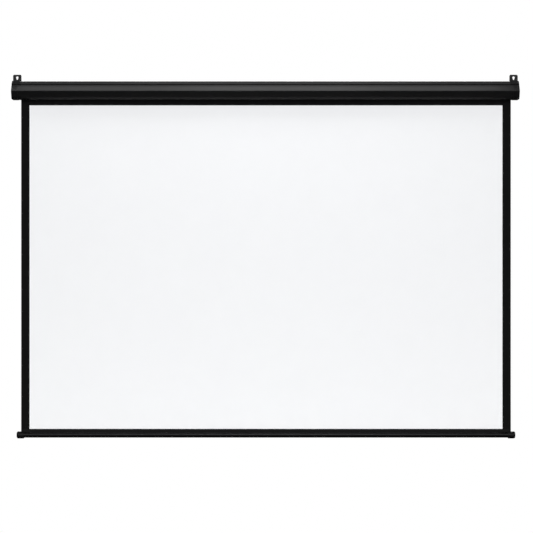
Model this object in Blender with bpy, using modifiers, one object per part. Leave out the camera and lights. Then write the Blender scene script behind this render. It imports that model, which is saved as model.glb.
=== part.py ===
"""Electric projector screen for a wall, let all the way down.

+X runs along the case to the viewer's right, +Z is up, and the room is on the -Y side.
The origin is the middle of the case's flat back, which lies on the wall plane y = 0.
Heights named ..._HEIGHT are above the case's underside, and ..._DEPTH are out from the wall.
"""

import math

import bmesh
import bpy
from mathutils import Vector

MM = 0.001

# Sheet. The white area has a 100 inch diagonal, and a black mask is printed round it.
VIEW_WIDTH = 2097 * MM
VIEW_HEIGHT = 1434 * MM
SIDE_BORDER = 37 * MM
TOP_BAND = 25 * MM
BOTTOM_BAND = 15 * MM
SHEET_THICKNESS = 0.45 * MM
SHEET_OFFSET = 2.5 * MM

# Case section: flat top, slope, groove, crowned front face, nose, lip and sole.
CASE_HEIGHT = 80 * MM
CASE_WALL = 1.6 * MM
TOP_DEPTH = 36 * MM
SHOULDER_DEPTH = 57.4 * MM
SHOULDER_HEIGHT = 66.2 * MM
GROOVE_WIDTH = 6.1 * MM
GROOVE_DEPTH = 1.8 * MM
FACE_CROWN = 1.2 * MM
FACE_STEPS = 6
NOSE_DEPTH = 82 * MM
NOSE_HEIGHT = 34.5 * MM
LIP_DEPTH = 69 * MM
LIP_HEIGHT = 9 * MM
SOLE_DEPTH = 61 * MM
SLOT_WIDTH = 26 * MM
SHEET_SIDE_ROOM = 9 * MM

# Screw ports: round channels in the case's corners that take the cap screws.
PORT_WALL = 2.4 * MM
PORT_SLIT = 1.6 * MM
PORT_SINK = 0.4 * MM

# End caps, moulded, a little proud of the case in front and below.
CAP_LENGTH = 26.5 * MM
CAP_WALL = 3 * MM
CAP_PROUD = 1 * MM
CAP_ROUND = 3 * MM
SEAM_GAP = 0.3 * MM
RECESS_WIDTH = 6.6 * MM
RECESS_LENGTH = 18 * MM
RECESS_DEPTH = 1.2 * MM
RECESS_HEIGHT = 50 * MM
DIMPLE_RADIUS = 2.6 * MM

# Fits: the gap between seated pieces, round a shaft in its bush and round a screw's thread.
SEAT_GAP = 0.3 * MM
RUNNING_GAP = 0.12 * MM
THREAD_GAP = 0.2 * MM

# How far a cutter runs past what it cuts, and a joined piece reaches into the other.
CUT_PAST = 5 * MM
FUSE = 0.5 * MM
EDGE_BREAK = 1 * MM

# Cap screws with a pan head sunk flush in the cap.
SCREW_RADIUS = 1.75 * MM
SCREW_HEAD_RADIUS = 3 * MM
SCREW_HEAD_HEIGHT = 1.5 * MM
SCREW_BITE = 12 * MM
SOCKET_FLATS = 2.5 * MM
HEAD_CROWN = 0.8
HEAD_EDGE = 0.5
SOCKET_SHARE = 0.6
PILLAR_WALL = 1.6 * MM
PILLAR_RELIEF = 0.2 * MM

# Hanging brackets: steel strip, ear against the wall, front edge hooked in the groove.
BRACKET_WIDTH = 37.2 * MM
BRACKET_THICKNESS = 2 * MM
BRACKET_SETBACK = 0.5 * MM
EAR_RISE = 32.3 * MM
EAR_ROUND = 6 * MM
HOOK_DEPTH = 1.4 * MM
HOOK_THICKNESS = 2 * MM
HOOK_FACE = 1.2 * MM
HOLE_RADIUS = 5.2 * MM
HOLE_NARROW_RADIUS = 2.6 * MM
HOLE_RISE = 19.7 * MM
HOLE_DROP = 7.7 * MM

# Roller, with a keyway that holds the sheet's end, and the turns that stay on it.
ROLLER_RADIUS = 21 * MM
ROLLER_WALL = 1.6 * MM
ROLLER_OVERHANG = 3 * MM
KEYWAY_WIDTH = 4 * MM
KEYWAY_DEPTH = 0.9 * MM
LEADER_TURNS = 2
LEADER_GAP = 0.42 * MM
AXIS_DEPTH = 42.2 * MM
AXIS_HEIGHT = 36 * MM

# Tubular motor.
MOTOR_RADIUS = 17.5 * MM
MOTOR_LENGTH = 430 * MM
HEAD_RADIUS = 20 * MM
HEAD_LENGTH = 16 * MM
STUB_SIDE = 10 * MM
CROWN_LENGTH = 12 * MM
FLANGE_THICKNESS = 2 * MM
WHEEL_LENGTH = 16 * MM
WHEEL_NOTCHES = 6
WHEEL_NOTCH_DEPTH = 2.5 * MM
SHAFT_FLATS = 12 * MM
SHAFT_OVERHANG = 2 * MM

# Limit adjusters in the motor's head, turned with a key from below.
ADJUSTER_RADIUS = 2.9 * MM
ADJUSTER_LENGTH = 8 * MM
ADJUSTER_SPACING = 8.4 * MM
ADJUSTER_SOCKET_RADIUS = 1.7 * MM
ADJUSTER_SOCKET_DEPTH = 4 * MM
ADJUSTER_PROUD = 1 * MM
ACCESS_RADIUS = 4 * MM

# Bracket plates inside the caps, on bosses.
PLATE_THICKNESS = 2 * MM
PLATE_HALF_WIDTH = 16 * MM
PLATE_ROOM = 2 * MM
PLATE_EDGE = 2 * MM
BOSS_RADIUS = 4 * MM
BOSS_HEIGHT = 3.5 * MM
PLATE_SCREW_RADIUS = 1.4 * MM
PLATE_SCREW_HEAD = 2.8 * MM
PLATE_SCREW_REACH = 4.5 * MM

# Idler end.
PIN_RADIUS = 5 * MM
PIN_LENGTH = 44 * MM
PIN_HEAD_RADIUS = 8 * MM
PIN_ROOM = 1 * MM
BUSH_WALL = 3 * MM
PLUG_LENGTH = 24 * MM
PLUG_FLOOR = 2 * MM

# Blind grommet for the cord, in the left cap's end wall.
GROMMET_NECK_RADIUS = 5.7 * MM
GROMMET_FLANGE_RADIUS = 8.2 * MM
GROMMET_FLANGE = 0.9 * MM
GROMMET_SINK = 1.2 * MM
GROMMET_BACK = 2.5 * MM
GROMMET_ROUND = 0.5 * MM
GROMMET_DISH = 0.6
GROMMET_DEPTH = 15 * MM
GROMMET_HEIGHT = 20 * MM

# Weight bar with its caps, the hem's rod and the hem.
BAR_RADIUS = 12.05 * MM
BAR_WALL = 1.5 * MM
BAR_SLOT = 2.8 * MM
BAR_OVERHANG = 19.2 * MM
BAR_CAP_RADIUS = 15.7 * MM
BAR_CAP_LENGTH = 33 * MM
BAR_CAP_ROUND = 7 * MM
BAR_CAP_CHAMFER = 2.5 * MM
BAR_CAP_LIP = 0.8 * MM
BAR_CAP_END = 5 * MM
HEM_THICKNESS = 0.9 * MM
ROD_RADIUS = 2 * MM

CIRCLE_STEPS = 48
INNER_STEPS = 32
SMALL_STEPS = 20
CORNER_STEPS = 6
SHARP_ANGLE = math.radians(35)
LEFT = -1
RIGHT = 1

# Sizes that follow from the ones above.
UNDERSIDE = -CASE_HEIGHT / 2
SHEET_WIDTH = VIEW_WIDTH + 2 * SIDE_BORDER
CASE_HALF = SHEET_WIDTH / 2 + SHEET_SIDE_ROOM
CAP_INNER = CASE_HALF + SEAM_GAP
CAP_OUTER = CAP_INNER + CAP_LENGTH
PLATE_FACE = CAP_OUTER - CAP_WALL - BOSS_HEIGHT - SEAT_GAP
PLATE_INNER = PLATE_FACE - PLATE_THICKNESS
LEADER_PITCH = SHEET_THICKNESS + LEADER_GAP
LEADER_START = ROLLER_RADIUS + SEAT_GAP
LEADER_OUTER = LEADER_START + LEADER_TURNS * LEADER_PITCH + SHEET_THICKNESS
AXIS_Y = -AXIS_DEPTH
AXIS_Z = UNDERSIDE + AXIS_HEIGHT
SHEET_Y = AXIS_Y + LEADER_OUTER - SHEET_THICKNESS / 2
SHEET_TOP = AXIS_Z - SEAT_GAP
VIEW_TOP = UNDERSIDE - TOP_BAND
VIEW_BOTTOM = VIEW_TOP - VIEW_HEIGHT
HEM_TOP = VIEW_BOTTOM - SEAT_GAP
BAR_Z = VIEW_BOTTOM - BOTTOM_BAND - BAR_RADIUS
BAR_HALF = SHEET_WIDTH / 2 + BAR_OVERHANG
TUBE_INNER = ROLLER_RADIUS - ROLLER_WALL
ROLLER_HALF = SHEET_WIDTH / 2 + ROLLER_OVERHANG
PORT_BORE = SCREW_RADIUS + THREAD_GAP
PORT_RADIUS = PORT_BORE + PORT_WALL


def level(height):
    """Row height of a point that lies this far above the case's underside."""
    return UNDERSIDE + height


def outward(direction):
    """Unit normal on the right of a direction, which is outside of a section drawn here."""
    return Vector((direction.y, -direction.x)).normalized()


def offset_path(points, distance, closed=True):
    """Path whose sides lie outside the given ones by distance, with mitred corners."""
    count = len(points)
    moved = []
    for index, point in enumerate(points):
        normals = []
        if closed or index > 0:
            normals.append(outward(point - points[index - 1]))
        if closed or index < count - 1:
            normals.append(outward(points[(index + 1) % count] - point))
        mitre = (normals[0] + normals[-1]).normalized()
        moved.append(point + mitre * distance / mitre.dot(normals[0]))
    return moved


def arc(centre, radius, start, end, steps):
    """Points on an arc from start to end, in degrees, from +Y towards +Z."""
    points = []
    for step in range(steps + 1):
        angle = math.radians(start + (end - start) * step / steps)
        points.append(Vector((centre[0] + radius * math.cos(angle), centre[1] + radius * math.sin(angle))))
    return points


def circle(centre, radius, steps=CIRCLE_STEPS):
    """Closed round outline."""
    return arc(centre, radius, 0, 360, steps)[:-1]


def regular_outline(centre, flats, sides):
    """Polygon with this many sides and this distance across its flats."""
    return circle(centre, flats / 2 / math.cos(math.pi / sides), sides)


def stadium(centre, half_width, half_height, steps=16):
    """Upright outline with round ends."""
    rise = half_height - half_width
    top = arc((centre[0], centre[1] + rise), half_width, 0, 180, steps)
    bottom = arc((centre[0], centre[1] - rise), half_width, 180, 360, steps)
    return top + bottom


def case_corner_points(grow=0.0):
    """Named corners of the section; grow moves the front and the underside out."""
    top_front = Vector((-TOP_DEPTH, level(CASE_HEIGHT)))
    shoulder = Vector((-SHOULDER_DEPTH, level(SHOULDER_HEIGHT)))
    slope = (shoulder - top_front).normalized()
    return {
        "back_bottom": Vector((0, level(-grow))),
        "back_top": Vector((0, level(CASE_HEIGHT))),
        "top_front": top_front,
        "shoulder": shoulder,
        "slope": slope,
        "face_start": shoulder + slope * GROOVE_WIDTH,
        "nose": Vector((-NOSE_DEPTH - grow, level(NOSE_HEIGHT))),
        "lip": Vector((-LIP_DEPTH - grow, level(LIP_HEIGHT))),
        "sole": Vector((-SOLE_DEPTH - grow, level(-grow))),
    }


def front_face(start, nose):
    """Slightly crowned face from the groove down to the nose."""
    normal = outward(nose - start)
    points = []
    for step in range(1, FACE_STEPS):
        share = step / FACE_STEPS
        points.append(start.lerp(nose, share) + normal * 4 * FACE_CROWN * share * (1 - share))
    return points


def groove_bottom(corner):
    """The two inner corners of the groove."""
    inward = -outward(corner["slope"]) * GROOVE_DEPTH
    return [corner["shoulder"] + inward, corner["face_start"] + inward]


def cap_section():
    """Closed outline of an end cap, without its groove."""
    corner = case_corner_points(CAP_PROUD)
    names = ["back_bottom", "back_top", "top_front", "shoulder"]
    points = [corner[name] for name in names]
    points += front_face(corner["shoulder"], corner["nose"])
    return points + [corner["nose"], corner["lip"], corner["sole"]]


def case_path():
    """Open outline of the case from one edge of the slot round to the other."""
    corner = case_corner_points()
    slot_back = Vector((SHEET_Y + SLOT_WIDTH / 2, level(0)))
    slot_front = Vector((SHEET_Y - SLOT_WIDTH / 2, level(0)))
    points = [slot_back, corner["back_bottom"], corner["back_top"], corner["top_front"], corner["shoulder"]]
    points += groove_bottom(corner)
    points.append(corner["face_start"])
    points += front_face(corner["face_start"], corner["nose"])
    return points + [corner["nose"], corner["lip"], corner["sole"], slot_front]


def port_seats():
    """Centre and inward direction of each screw port, tucked into a corner of the case."""
    corner = case_corner_points()
    face_end = front_face(corner["face_start"], corner["nose"])[-1]
    corners = {
        "top": (corner["back_bottom"], corner["back_top"], corner["top_front"]),
        "bottom": (corner["sole"], corner["back_bottom"], corner["back_top"]),
        "nose": (face_end, corner["nose"], corner["lip"]),
    }
    reach = CASE_WALL + PORT_RADIUS - PORT_SINK
    seats = {}
    for name, path in corners.items():
        centre = offset_path(list(path), -reach, closed=False)[1]
        seats[name] = (centre, (centre - path[1]).normalized())
    return seats


def clear_scene():
    """Remove what the scene holds and make the two collections."""
    for item in list(bpy.data.objects):
        bpy.data.objects.remove(item, do_unlink=True)
    made = []
    for name in ("projector_screen", "cutters"):
        collection = bpy.data.collections.get(name) or bpy.data.collections.new(name)
        if collection.name not in bpy.context.scene.collection.children:
            bpy.context.scene.collection.children.link(collection)
        made.append(collection)
    return made


PARTS, CUTTERS = clear_scene()


def colour(value):
    """Linear colour of an sRGB hex value."""
    channels = []
    for shift in (16, 8, 0):
        level_value = (value >> shift & 255) / 255
        if level_value <= 0.04045:
            channels.append(level_value / 12.92)
        else:
            channels.append(((level_value + 0.055) / 1.055) ** 2.4)
    return (*channels, 1.0)


def make_material(name, hex_value, roughness, metallic=0.0):
    """Principled material of one finish."""
    material = bpy.data.materials.new(name)
    material.use_nodes = True
    material.diffuse_color = colour(hex_value)
    shader = material.node_tree.nodes["Principled BSDF"]
    shader.inputs["Base Color"].default_value = colour(hex_value)
    shader.inputs["Roughness"].default_value = roughness
    shader.inputs["Metallic"].default_value = metallic
    return material


FINISHES = {
    "case_paint": (0x242424, 0.38, 0.0),
    "black_plastic": (0x1E1E1F, 0.5, 0.0),
    "black_steel": (0x1A1A1A, 0.42, 0.0),
    "zinc_steel": (0xB4B8BC, 0.35, 1.0),
    "black_screw": (0x161616, 0.4, 0.6),
    "aluminium": (0xC4C6C8, 0.38, 1.0),
    "white_sheet": (0xF2F3F5, 0.95, 0.0),
    "black_mask": (0x111111, 0.9, 0.0),
    "grey_plastic": (0x8A8C8E, 0.5, 0.0),
    "rubber": (0x101010, 0.8, 0.0),
    "adjuster_white": (0xE8E8E2, 0.5, 0.0),
    "adjuster_yellow": (0xE0B83A, 0.5, 0.0),
}


def add_finish(item, finish):
    """Give an object its own copy of a finish."""
    hex_value, roughness, metallic = FINISHES[finish]
    item.data.materials.append(make_material(item.name + "_" + finish, hex_value, roughness, metallic))


def link_part(item, finish):
    """Put a finished piece in the object's collection."""
    PARTS.objects.link(item)
    add_finish(item, finish)
    return item


def link_cutter(item):
    """Put a cutter in its own collection, out of sight of the build."""
    CUTTERS.objects.link(item)
    item.hide_render = True
    item.display_type = "WIRE"
    return item


def bool_with(item, other, operation):
    """Cut or join one mesh with another by an exact Boolean."""
    step = item.modifiers.new(other.name, "BOOLEAN")
    step.operation = operation
    step.solver = "EXACT"
    step.object = other


def cut(item, cutter):
    """Take a cutter out of a piece."""
    bool_with(item, link_cutter(cutter), "DIFFERENCE")


def join(item, addition):
    """Fuse an addition to a piece."""
    bool_with(item, link_cutter(addition), "UNION")


def outline_body(name, outlines, start, end):
    """Solid with a flat outline in Y and Z, drawn along X from start to end, as a mesh."""
    curve = bpy.data.curves.new(name, "CURVE")
    curve.dimensions = "2D"
    curve.fill_mode = "BOTH"
    curve.extrude = abs(end - start) / 2
    for outline in outlines:
        spline = curve.splines.new("POLY")
        spline.points.add(len(outline) - 1)
        spline.use_cyclic_u = True
        for knot, point in zip(spline.points, outline):
            knot.co = (point[0], point[1], 0, 1)
    drawn = bpy.data.objects.new(name + "_outline", curve)
    drawn.location.x = (start + end) / 2
    drawn.rotation_euler = (math.pi / 2, 0, math.pi / 2)
    bpy.context.scene.collection.objects.link(drawn)
    graph = bpy.context.evaluated_depsgraph_get()
    mesh = bpy.data.meshes.new_from_object(drawn.evaluated_get(graph))
    weld = bmesh.new()
    weld.from_mesh(mesh)
    bmesh.ops.remove_doubles(weld, verts=weld.verts, dist=0.001 * MM)
    bmesh.ops.dissolve_limit(weld, angle_limit=0.0001, verts=weld.verts, edges=weld.edges)
    weld.to_mesh(mesh)
    weld.free()
    body = bpy.data.objects.new(name, mesh)
    body.matrix_world = drawn.matrix_world
    bpy.data.objects.remove(drawn, do_unlink=True)
    mesh.shade_smooth()
    return body


def turned_body(name, profile, place, side=RIGHT, steps=CIRCLE_STEPS, ring=False, axis_up=False):
    """Turned solid; the profile gives (radius, distance along) from its far end back.

    The turning axis points along X to the given side, or straight up.
    """
    mesh = bpy.data.meshes.new(name)
    drawn = bmesh.new()
    corners = [drawn.verts.new((radius, 0, along)) for radius, along in profile]
    pairs = list(zip(corners, corners[1:]))
    if ring:
        pairs.append((corners[-1], corners[0]))
    for pair in pairs:
        drawn.edges.new(pair)
    drawn.to_mesh(mesh)
    drawn.free()
    body = bpy.data.objects.new(name, mesh)
    body.location = place
    body.rotation_euler = (0, 0 if axis_up else side * math.pi / 2, 0)
    screw = body.modifiers.new("Turn", "SCREW")
    screw.axis = "Z"
    screw.angle = math.tau
    screw.steps = steps
    screw.render_steps = steps
    screw.use_merge_vertices = True
    screw.merge_threshold = 0.001 * MM
    return body


def cylinder(name, radius, start, end, centre, side=RIGHT, steps=CIRCLE_STEPS):
    """Round bar along X between two distances from the middle, on one side."""
    profile = [(0, end), (radius, end), (radius, start), (0, start)]
    return turned_body(name, profile, (0, centre[0], centre[1]), side, steps)


def ring_body(name, outer, inner, start, end, centre, side=RIGHT, steps=CIRCLE_STEPS):
    """Plain tube along X."""
    profile = [(outer, end), (outer, start), (inner, start), (inner, end)]
    return turned_body(name, profile, (0, centre[0], centre[1]), side, steps, ring=True)


def upright_cylinder(name, radius, low, high, x, y, steps=SMALL_STEPS):
    """Round bar along Z."""
    profile = [(0, high), (radius, high), (radius, low), (0, low)]
    return turned_body(name, profile, (x, y, 0), steps=steps, axis_up=True)


def box_body(name, low, high):
    """Box between two corners."""
    bpy.ops.mesh.primitive_cube_add(size=1)
    body = bpy.context.object
    body.name = name
    for collection in list(body.users_collection):
        collection.objects.unlink(body)
    size = [top - bottom for bottom, top in zip(low, high)]
    for vertex in body.data.vertices:
        vertex.co = Vector([part * width for part, width in zip(vertex.co, size)])
    body.location = [(bottom + top) / 2 for bottom, top in zip(low, high)]
    return body


def shell_body(name, path, half_length, wall):
    """Open surface along X with its wall laid inside the path by Solidify."""
    drawn = bmesh.new()
    corners = [drawn.verts.new((-half_length, point.x, point.y)) for point in path]
    sides = [drawn.edges.new(pair) for pair in zip(corners, corners[1:])]
    made = bmesh.ops.extrude_edge_only(drawn, edges=sides)["geom"]
    far_end = [item for item in made if isinstance(item, bmesh.types.BMVert)]
    bmesh.ops.translate(drawn, verts=far_end, vec=(2 * half_length, 0, 0))
    drawn.normal_update()
    first_side = outward(path[1] - path[0])
    first_face = sides[0].link_faces[0]
    if first_face.normal.dot(Vector((0, first_side.x, first_side.y))) < 0:
        bmesh.ops.reverse_faces(drawn, faces=drawn.faces)
    mesh = bpy.data.meshes.new(name)
    drawn.to_mesh(mesh)
    drawn.free()
    body = bpy.data.objects.new(name, mesh)
    thicken = body.modifiers.new("Wall", "SOLIDIFY")
    thicken.thickness = wall
    thicken.offset = -1
    thicken.use_even_offset = True
    return body


def port_outline(centre, inward):
    """C-shaped outline of a screw port, with its slit towards the inside of the case."""
    facing = math.degrees(math.atan2(inward.y, inward.x))
    outer_half = math.degrees(math.asin(PORT_SLIT / 2 / PORT_RADIUS))
    inner_half = math.degrees(math.asin(PORT_SLIT / 2 / PORT_BORE))
    outer = arc(centre, PORT_RADIUS, facing + outer_half, facing + 360 - outer_half, SMALL_STEPS)
    inner = arc(centre, PORT_BORE, facing + 360 - inner_half, facing + inner_half, SMALL_STEPS)
    return outer + inner


def make_case():
    """Extruded case with its groove and slot, and a screw port in three corners."""
    case = shell_body("case_housing", case_path(), CASE_HALF, CASE_WALL)
    for name, (centre, inward) in port_seats().items():
        reach = CASE_HALF - SEAT_GAP
        join(case, outline_body("port_" + name, [port_outline(centre, inward)], -reach, reach))
    link_part(case, "case_paint")
    return case


def round_end_rim(body, end_x, radius, steps=CORNER_STEPS):
    """Round the rim of the cap's end face."""
    drawn = bmesh.new()
    drawn.from_mesh(body.data)
    placed = body.matrix_world
    rim = []
    for edge in drawn.edges:
        at_end = all(abs((placed @ vertex.co).x - end_x) < 0.01 * MM for vertex in edge.verts)
        if at_end and len(edge.link_faces) == 2 and edge.calc_face_angle(0) > 1:
            rim.append(edge)
    bmesh.ops.bevel(drawn, geom=rim, offset=radius, segments=steps, profile=0.5, affect="EDGES",
                    clamp_overlap=True)
    bmesh.ops.remove_doubles(drawn, verts=drawn.verts, dist=0.001 * MM)
    drawn.to_mesh(body.data)
    drawn.free()


def plate_reach():
    """How far the bracket plates' ends lie from the roller's axis."""
    return AXIS_Z - level(CAP_WALL - CAP_PROUD) - PLATE_ROOM


def boss_centres():
    """Centres of the two bosses that carry a bracket plate."""
    rise = plate_reach() - BOSS_RADIUS - PLATE_EDGE
    return [(AXIS_Y, AXIS_Z + rise), (AXIS_Y, AXIS_Z - rise)]


def span(side, first, second):
    """Two distances from the middle as places along X on one side, low one first."""
    return sorted((side * first, side * second))


def make_cap(name, side):
    """Moulded end cap: a cup with bosses, pillars for the cap screws and the groove carried on."""
    section = cap_section()
    cap = outline_body(name, [section], *span(side, CAP_INNER, CAP_OUTER))
    round_end_rim(cap, side * CAP_OUTER, CAP_ROUND)
    pocket = offset_path(section, -CAP_WALL)
    past = CAP_INNER - CUT_PAST
    cut(cap, outline_body(name + "_pocket", [pocket], *span(side, past, CAP_OUTER - CAP_WALL)))

    corner = case_corner_points(CAP_PROUD)
    above = outward(corner["slope"]) * CUT_PAST
    groove = [corner["shoulder"] + above, corner["face_start"] + above]
    groove += reversed(groove_bottom(corner))
    cut(cap, outline_body(name + "_groove", [groove], *span(side, past, CAP_OUTER + CUT_PAST)))

    for index, centre in enumerate(boss_centres()):
        boss = ring_body(name + "_boss%d" % index, BOSS_RADIUS, PLATE_SCREW_RADIUS + THREAD_GAP,
                         CAP_OUTER - CAP_WALL - BOSS_HEIGHT, CAP_OUTER - CAP_WALL + FUSE, centre,
                         side, SMALL_STEPS)
        join(cap, boss)
    shank = SCREW_RADIUS + SEAT_GAP
    bore = shank + PILLAR_RELIEF
    for port, (centre, inward) in port_seats().items():
        join(cap, ring_body(name + "_pillar_" + port, bore + PILLAR_WALL, bore, CAP_INNER + SEAT_GAP,
                            CAP_OUTER - CAP_WALL + FUSE, centre, side, SMALL_STEPS))
    for port, (centre, inward) in port_seats().items():
        hole = [
            (0, CAP_OUTER + CUT_PAST),
            (SCREW_HEAD_RADIUS + SEAT_GAP, CAP_OUTER + CUT_PAST),
            (SCREW_HEAD_RADIUS + SEAT_GAP, CAP_OUTER - SCREW_HEAD_HEIGHT - SEAT_GAP),
            (shank, CAP_OUTER - SCREW_HEAD_HEIGHT - SEAT_GAP),
            (shank, CAP_OUTER - CAP_WALL - CUT_PAST),
            (0, CAP_OUTER - CAP_WALL - CUT_PAST),
        ]
        place = (0, centre.x, centre.y)
        cut(cap, turned_body(name + "_hole_" + port, hole, place, side, SMALL_STEPS))
    link_part(cap, "black_plastic")
    return cap


def face_frame():
    """Point on the cap's front face at the recess, its tangent and its normal."""
    corner = case_corner_points(CAP_PROUD)
    line = [corner["shoulder"]] + front_face(corner["shoulder"], corner["nose"]) + [corner["nose"]]
    for upper, lower in zip(line, line[1:]):
        if upper.y >= level(RECESS_HEIGHT) >= lower.y:
            share = (upper.y - level(RECESS_HEIGHT)) / (upper.y - lower.y)
            return upper.lerp(lower, share), (lower - upper).normalized()
    return line[0], (line[1] - line[0]).normalized()


def face_cutter(name, half_width, half_length, side):
    """Upright stadium that cuts a shallow recess square to the cap's front face."""
    point, tangent = face_frame()
    normal = outward(tangent)
    outline = stadium((0, 0), half_width, half_length, 8)
    depth = RECESS_DEPTH + CUT_PAST
    body = outline_body(name, [outline], -depth, 0)
    centre = point + normal * CUT_PAST
    middle = side * (CAP_INNER + CAP_OUTER - CAP_ROUND) / 2
    body.location = (middle, centre.x - normal.x * depth / 2, centre.y - normal.y * depth / 2)
    lean = math.atan2(normal.y, -normal.x)
    body.rotation_euler = (math.pi / 2 - lean, 0, 0)
    return body


def make_end_caps():
    """Both caps, each with its own front recess; the left one also serves the motor."""
    left = make_cap("left_end_cap", LEFT)
    right = make_cap("right_end_cap", RIGHT)
    cut(left, face_cutter("left_recess", RECESS_WIDTH / 2, RECESS_LENGTH / 2, LEFT))
    cut(right, face_cutter("right_dimple", DIMPLE_RADIUS, DIMPLE_RADIUS, RIGHT))

    hole = [
        (0, CAP_OUTER + CUT_PAST),
        (GROMMET_FLANGE_RADIUS + SEAT_GAP, CAP_OUTER + CUT_PAST),
        (GROMMET_FLANGE_RADIUS + SEAT_GAP, CAP_OUTER - GROMMET_SINK),
        (GROMMET_NECK_RADIUS + SEAT_GAP, CAP_OUTER - GROMMET_SINK),
        (GROMMET_NECK_RADIUS + SEAT_GAP, CAP_OUTER - CAP_WALL - CUT_PAST),
        (0, CAP_OUTER - CAP_WALL - CUT_PAST),
    ]
    place = (0, -GROMMET_DEPTH, level(GROMMET_HEIGHT))
    cut(left, turned_body("grommet_hole", hole, place, LEFT, SMALL_STEPS))
    for index, x in enumerate(adjuster_places()):
        low = level(-CAP_PROUD) - CUT_PAST
        high = level(CAP_WALL - CAP_PROUD) + FUSE
        cut(left, upright_cylinder("access_hole%d" % index, ACCESS_RADIUS, low, high, x, AXIS_Y, 24))


def make_grommet():
    """Blind grommet: a dished face, a neck in the wall and a flange behind it."""
    face = CAP_OUTER - GROMMET_SINK + SEAT_GAP
    behind = CAP_OUTER - CAP_WALL - SEAT_GAP
    front = face + GROMMET_FLANGE
    profile = [
        (0, front - GROMMET_ROUND),
        (GROMMET_NECK_RADIUS * GROMMET_DISH, front - GROMMET_ROUND),
        (GROMMET_NECK_RADIUS, front),
        (GROMMET_FLANGE_RADIUS - GROMMET_ROUND, front),
        (GROMMET_FLANGE_RADIUS, front - GROMMET_ROUND),
        (GROMMET_FLANGE_RADIUS, face),
        (GROMMET_NECK_RADIUS, face),
        (GROMMET_NECK_RADIUS, behind),
        (GROMMET_FLANGE_RADIUS - EDGE_BREAK, behind),
        (GROMMET_NECK_RADIUS, behind - GROMMET_BACK),
        (0, behind - GROMMET_BACK),
    ]
    grommet = turned_body("cable_grommet", profile, (0, -GROMMET_DEPTH, level(GROMMET_HEIGHT)), LEFT, 24)
    link_part(grommet, "rubber")


def socket_head_screw(name, profile, place, side, socket_at, finish):
    """Small turned screw with a hexagonal socket in its head."""
    screw = turned_body(name, profile, place, side, SMALL_STEPS)
    socket = outline_body(name + "_socket", [regular_outline((place[1], place[2]), SOCKET_FLATS, 6)],
                          *span(side, socket_at, socket_at + CUT_PAST))
    cut(screw, socket)
    link_part(screw, finish)


def make_cap_screws(side, word):
    """Three pan head screws through a cap into the case's screw ports."""
    head_top = CAP_OUTER
    head_under = head_top - SCREW_HEAD_HEIGHT
    tip = CASE_HALF - SCREW_BITE
    profile = [
        (0, head_top),
        (SCREW_HEAD_RADIUS * HEAD_CROWN, head_top),
        (SCREW_HEAD_RADIUS, head_top - HEAD_EDGE * SCREW_HEAD_HEIGHT),
        (SCREW_HEAD_RADIUS, head_under),
        (SCREW_RADIUS, head_under),
        (SCREW_RADIUS, tip + SCREW_RADIUS),
        (SCREW_RADIUS / 2, tip),
        (0, tip),
    ]
    for port, (centre, inward) in port_seats().items():
        name = "%s_cap_screw_%s" % (word, port)
        place = (0, centre.x, centre.y)
        socket_floor = head_top - SOCKET_SHARE * SCREW_HEAD_HEIGHT
        socket_head_screw(name, profile, place, side, socket_floor, "black_screw")


def bracket_outline():
    """Side outline of the hanging bracket: ear, foot, slope and hook."""
    corner = case_corner_points()
    path = [corner["back_top"], corner["top_front"], corner["shoulder"]]
    under = offset_path(path, SEAT_GAP, closed=False)
    over = offset_path(path, SEAT_GAP + BRACKET_THICKNESS, closed=False)
    slope = corner["slope"]
    normal = outward(slope)
    hook_inner = corner["shoulder"] + slope * SEAT_GAP - normal * HOOK_DEPTH
    hook_outer = hook_inner + slope * HOOK_THICKNESS
    face_out = hook_outer + normal * (HOOK_DEPTH + SEAT_GAP + HOOK_FACE)
    knee = under[2] + slope * SEAT_GAP
    ear_back = Vector((0, level(CASE_HEIGHT) + EAR_RISE))
    ear_front = Vector((-BRACKET_THICKNESS, level(CASE_HEIGHT) + EAR_RISE))
    foot_corner = Vector((-BRACKET_THICKNESS, over[0].y))
    return [under[0], ear_back, ear_front, foot_corner, over[1], over[2], face_out, hook_outer,
            hook_inner, knee, under[1]]


def hole_outline():
    """Teardrop in the ear, wide above and narrow below, in X and Z about its wide centre."""
    lean = math.degrees(math.asin((HOLE_RADIUS - HOLE_NARROW_RADIUS) / HOLE_DROP))
    wide = arc((0, 0), HOLE_RADIUS, -lean, 180 + lean, 20)
    narrow = arc((0, -HOLE_DROP), HOLE_NARROW_RADIUS, 180 + lean, 360 - lean, 10)
    return wide + narrow


def hole_cutter(name, x):
    """The teardrop drawn through the ear."""
    body = outline_body(name, [hole_outline()], -CUT_PAST, CUT_PAST)
    body.rotation_euler = (math.pi / 2, 0, 0)
    body.location = (x, 0, level(CASE_HEIGHT) + HOLE_RISE)
    return body


def round_ear(body):
    """Round the two top corners of the ear."""
    drawn = bmesh.new()
    drawn.from_mesh(body.data)
    placed = body.matrix_world
    top = level(CASE_HEIGHT) + EAR_RISE
    corners = []
    for edge in drawn.edges:
        ends = [placed @ vertex.co for vertex in edge.verts]
        at_top = all(abs(end.z - top) < 0.01 * MM for end in ends)
        if at_top and abs(ends[0].x - ends[1].x) < 0.01 * MM:
            corners.append(edge)
    bmesh.ops.bevel(drawn, geom=corners, offset=EAR_ROUND, segments=CORNER_STEPS, profile=0.5,
                    affect="EDGES")
    drawn.to_mesh(body.data)
    drawn.free()


def make_bracket(name, side):
    """Bent steel bracket over the end of the case and the cap."""
    outer = CAP_OUTER - BRACKET_SETBACK
    inner = outer - BRACKET_WIDTH
    bracket = outline_body(name, [bracket_outline()], *span(side, inner, outer))
    round_ear(bracket)
    cut(bracket, hole_cutter(name + "_hole", side * (inner + outer) / 2))
    link_part(bracket, "black_steel")


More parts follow.
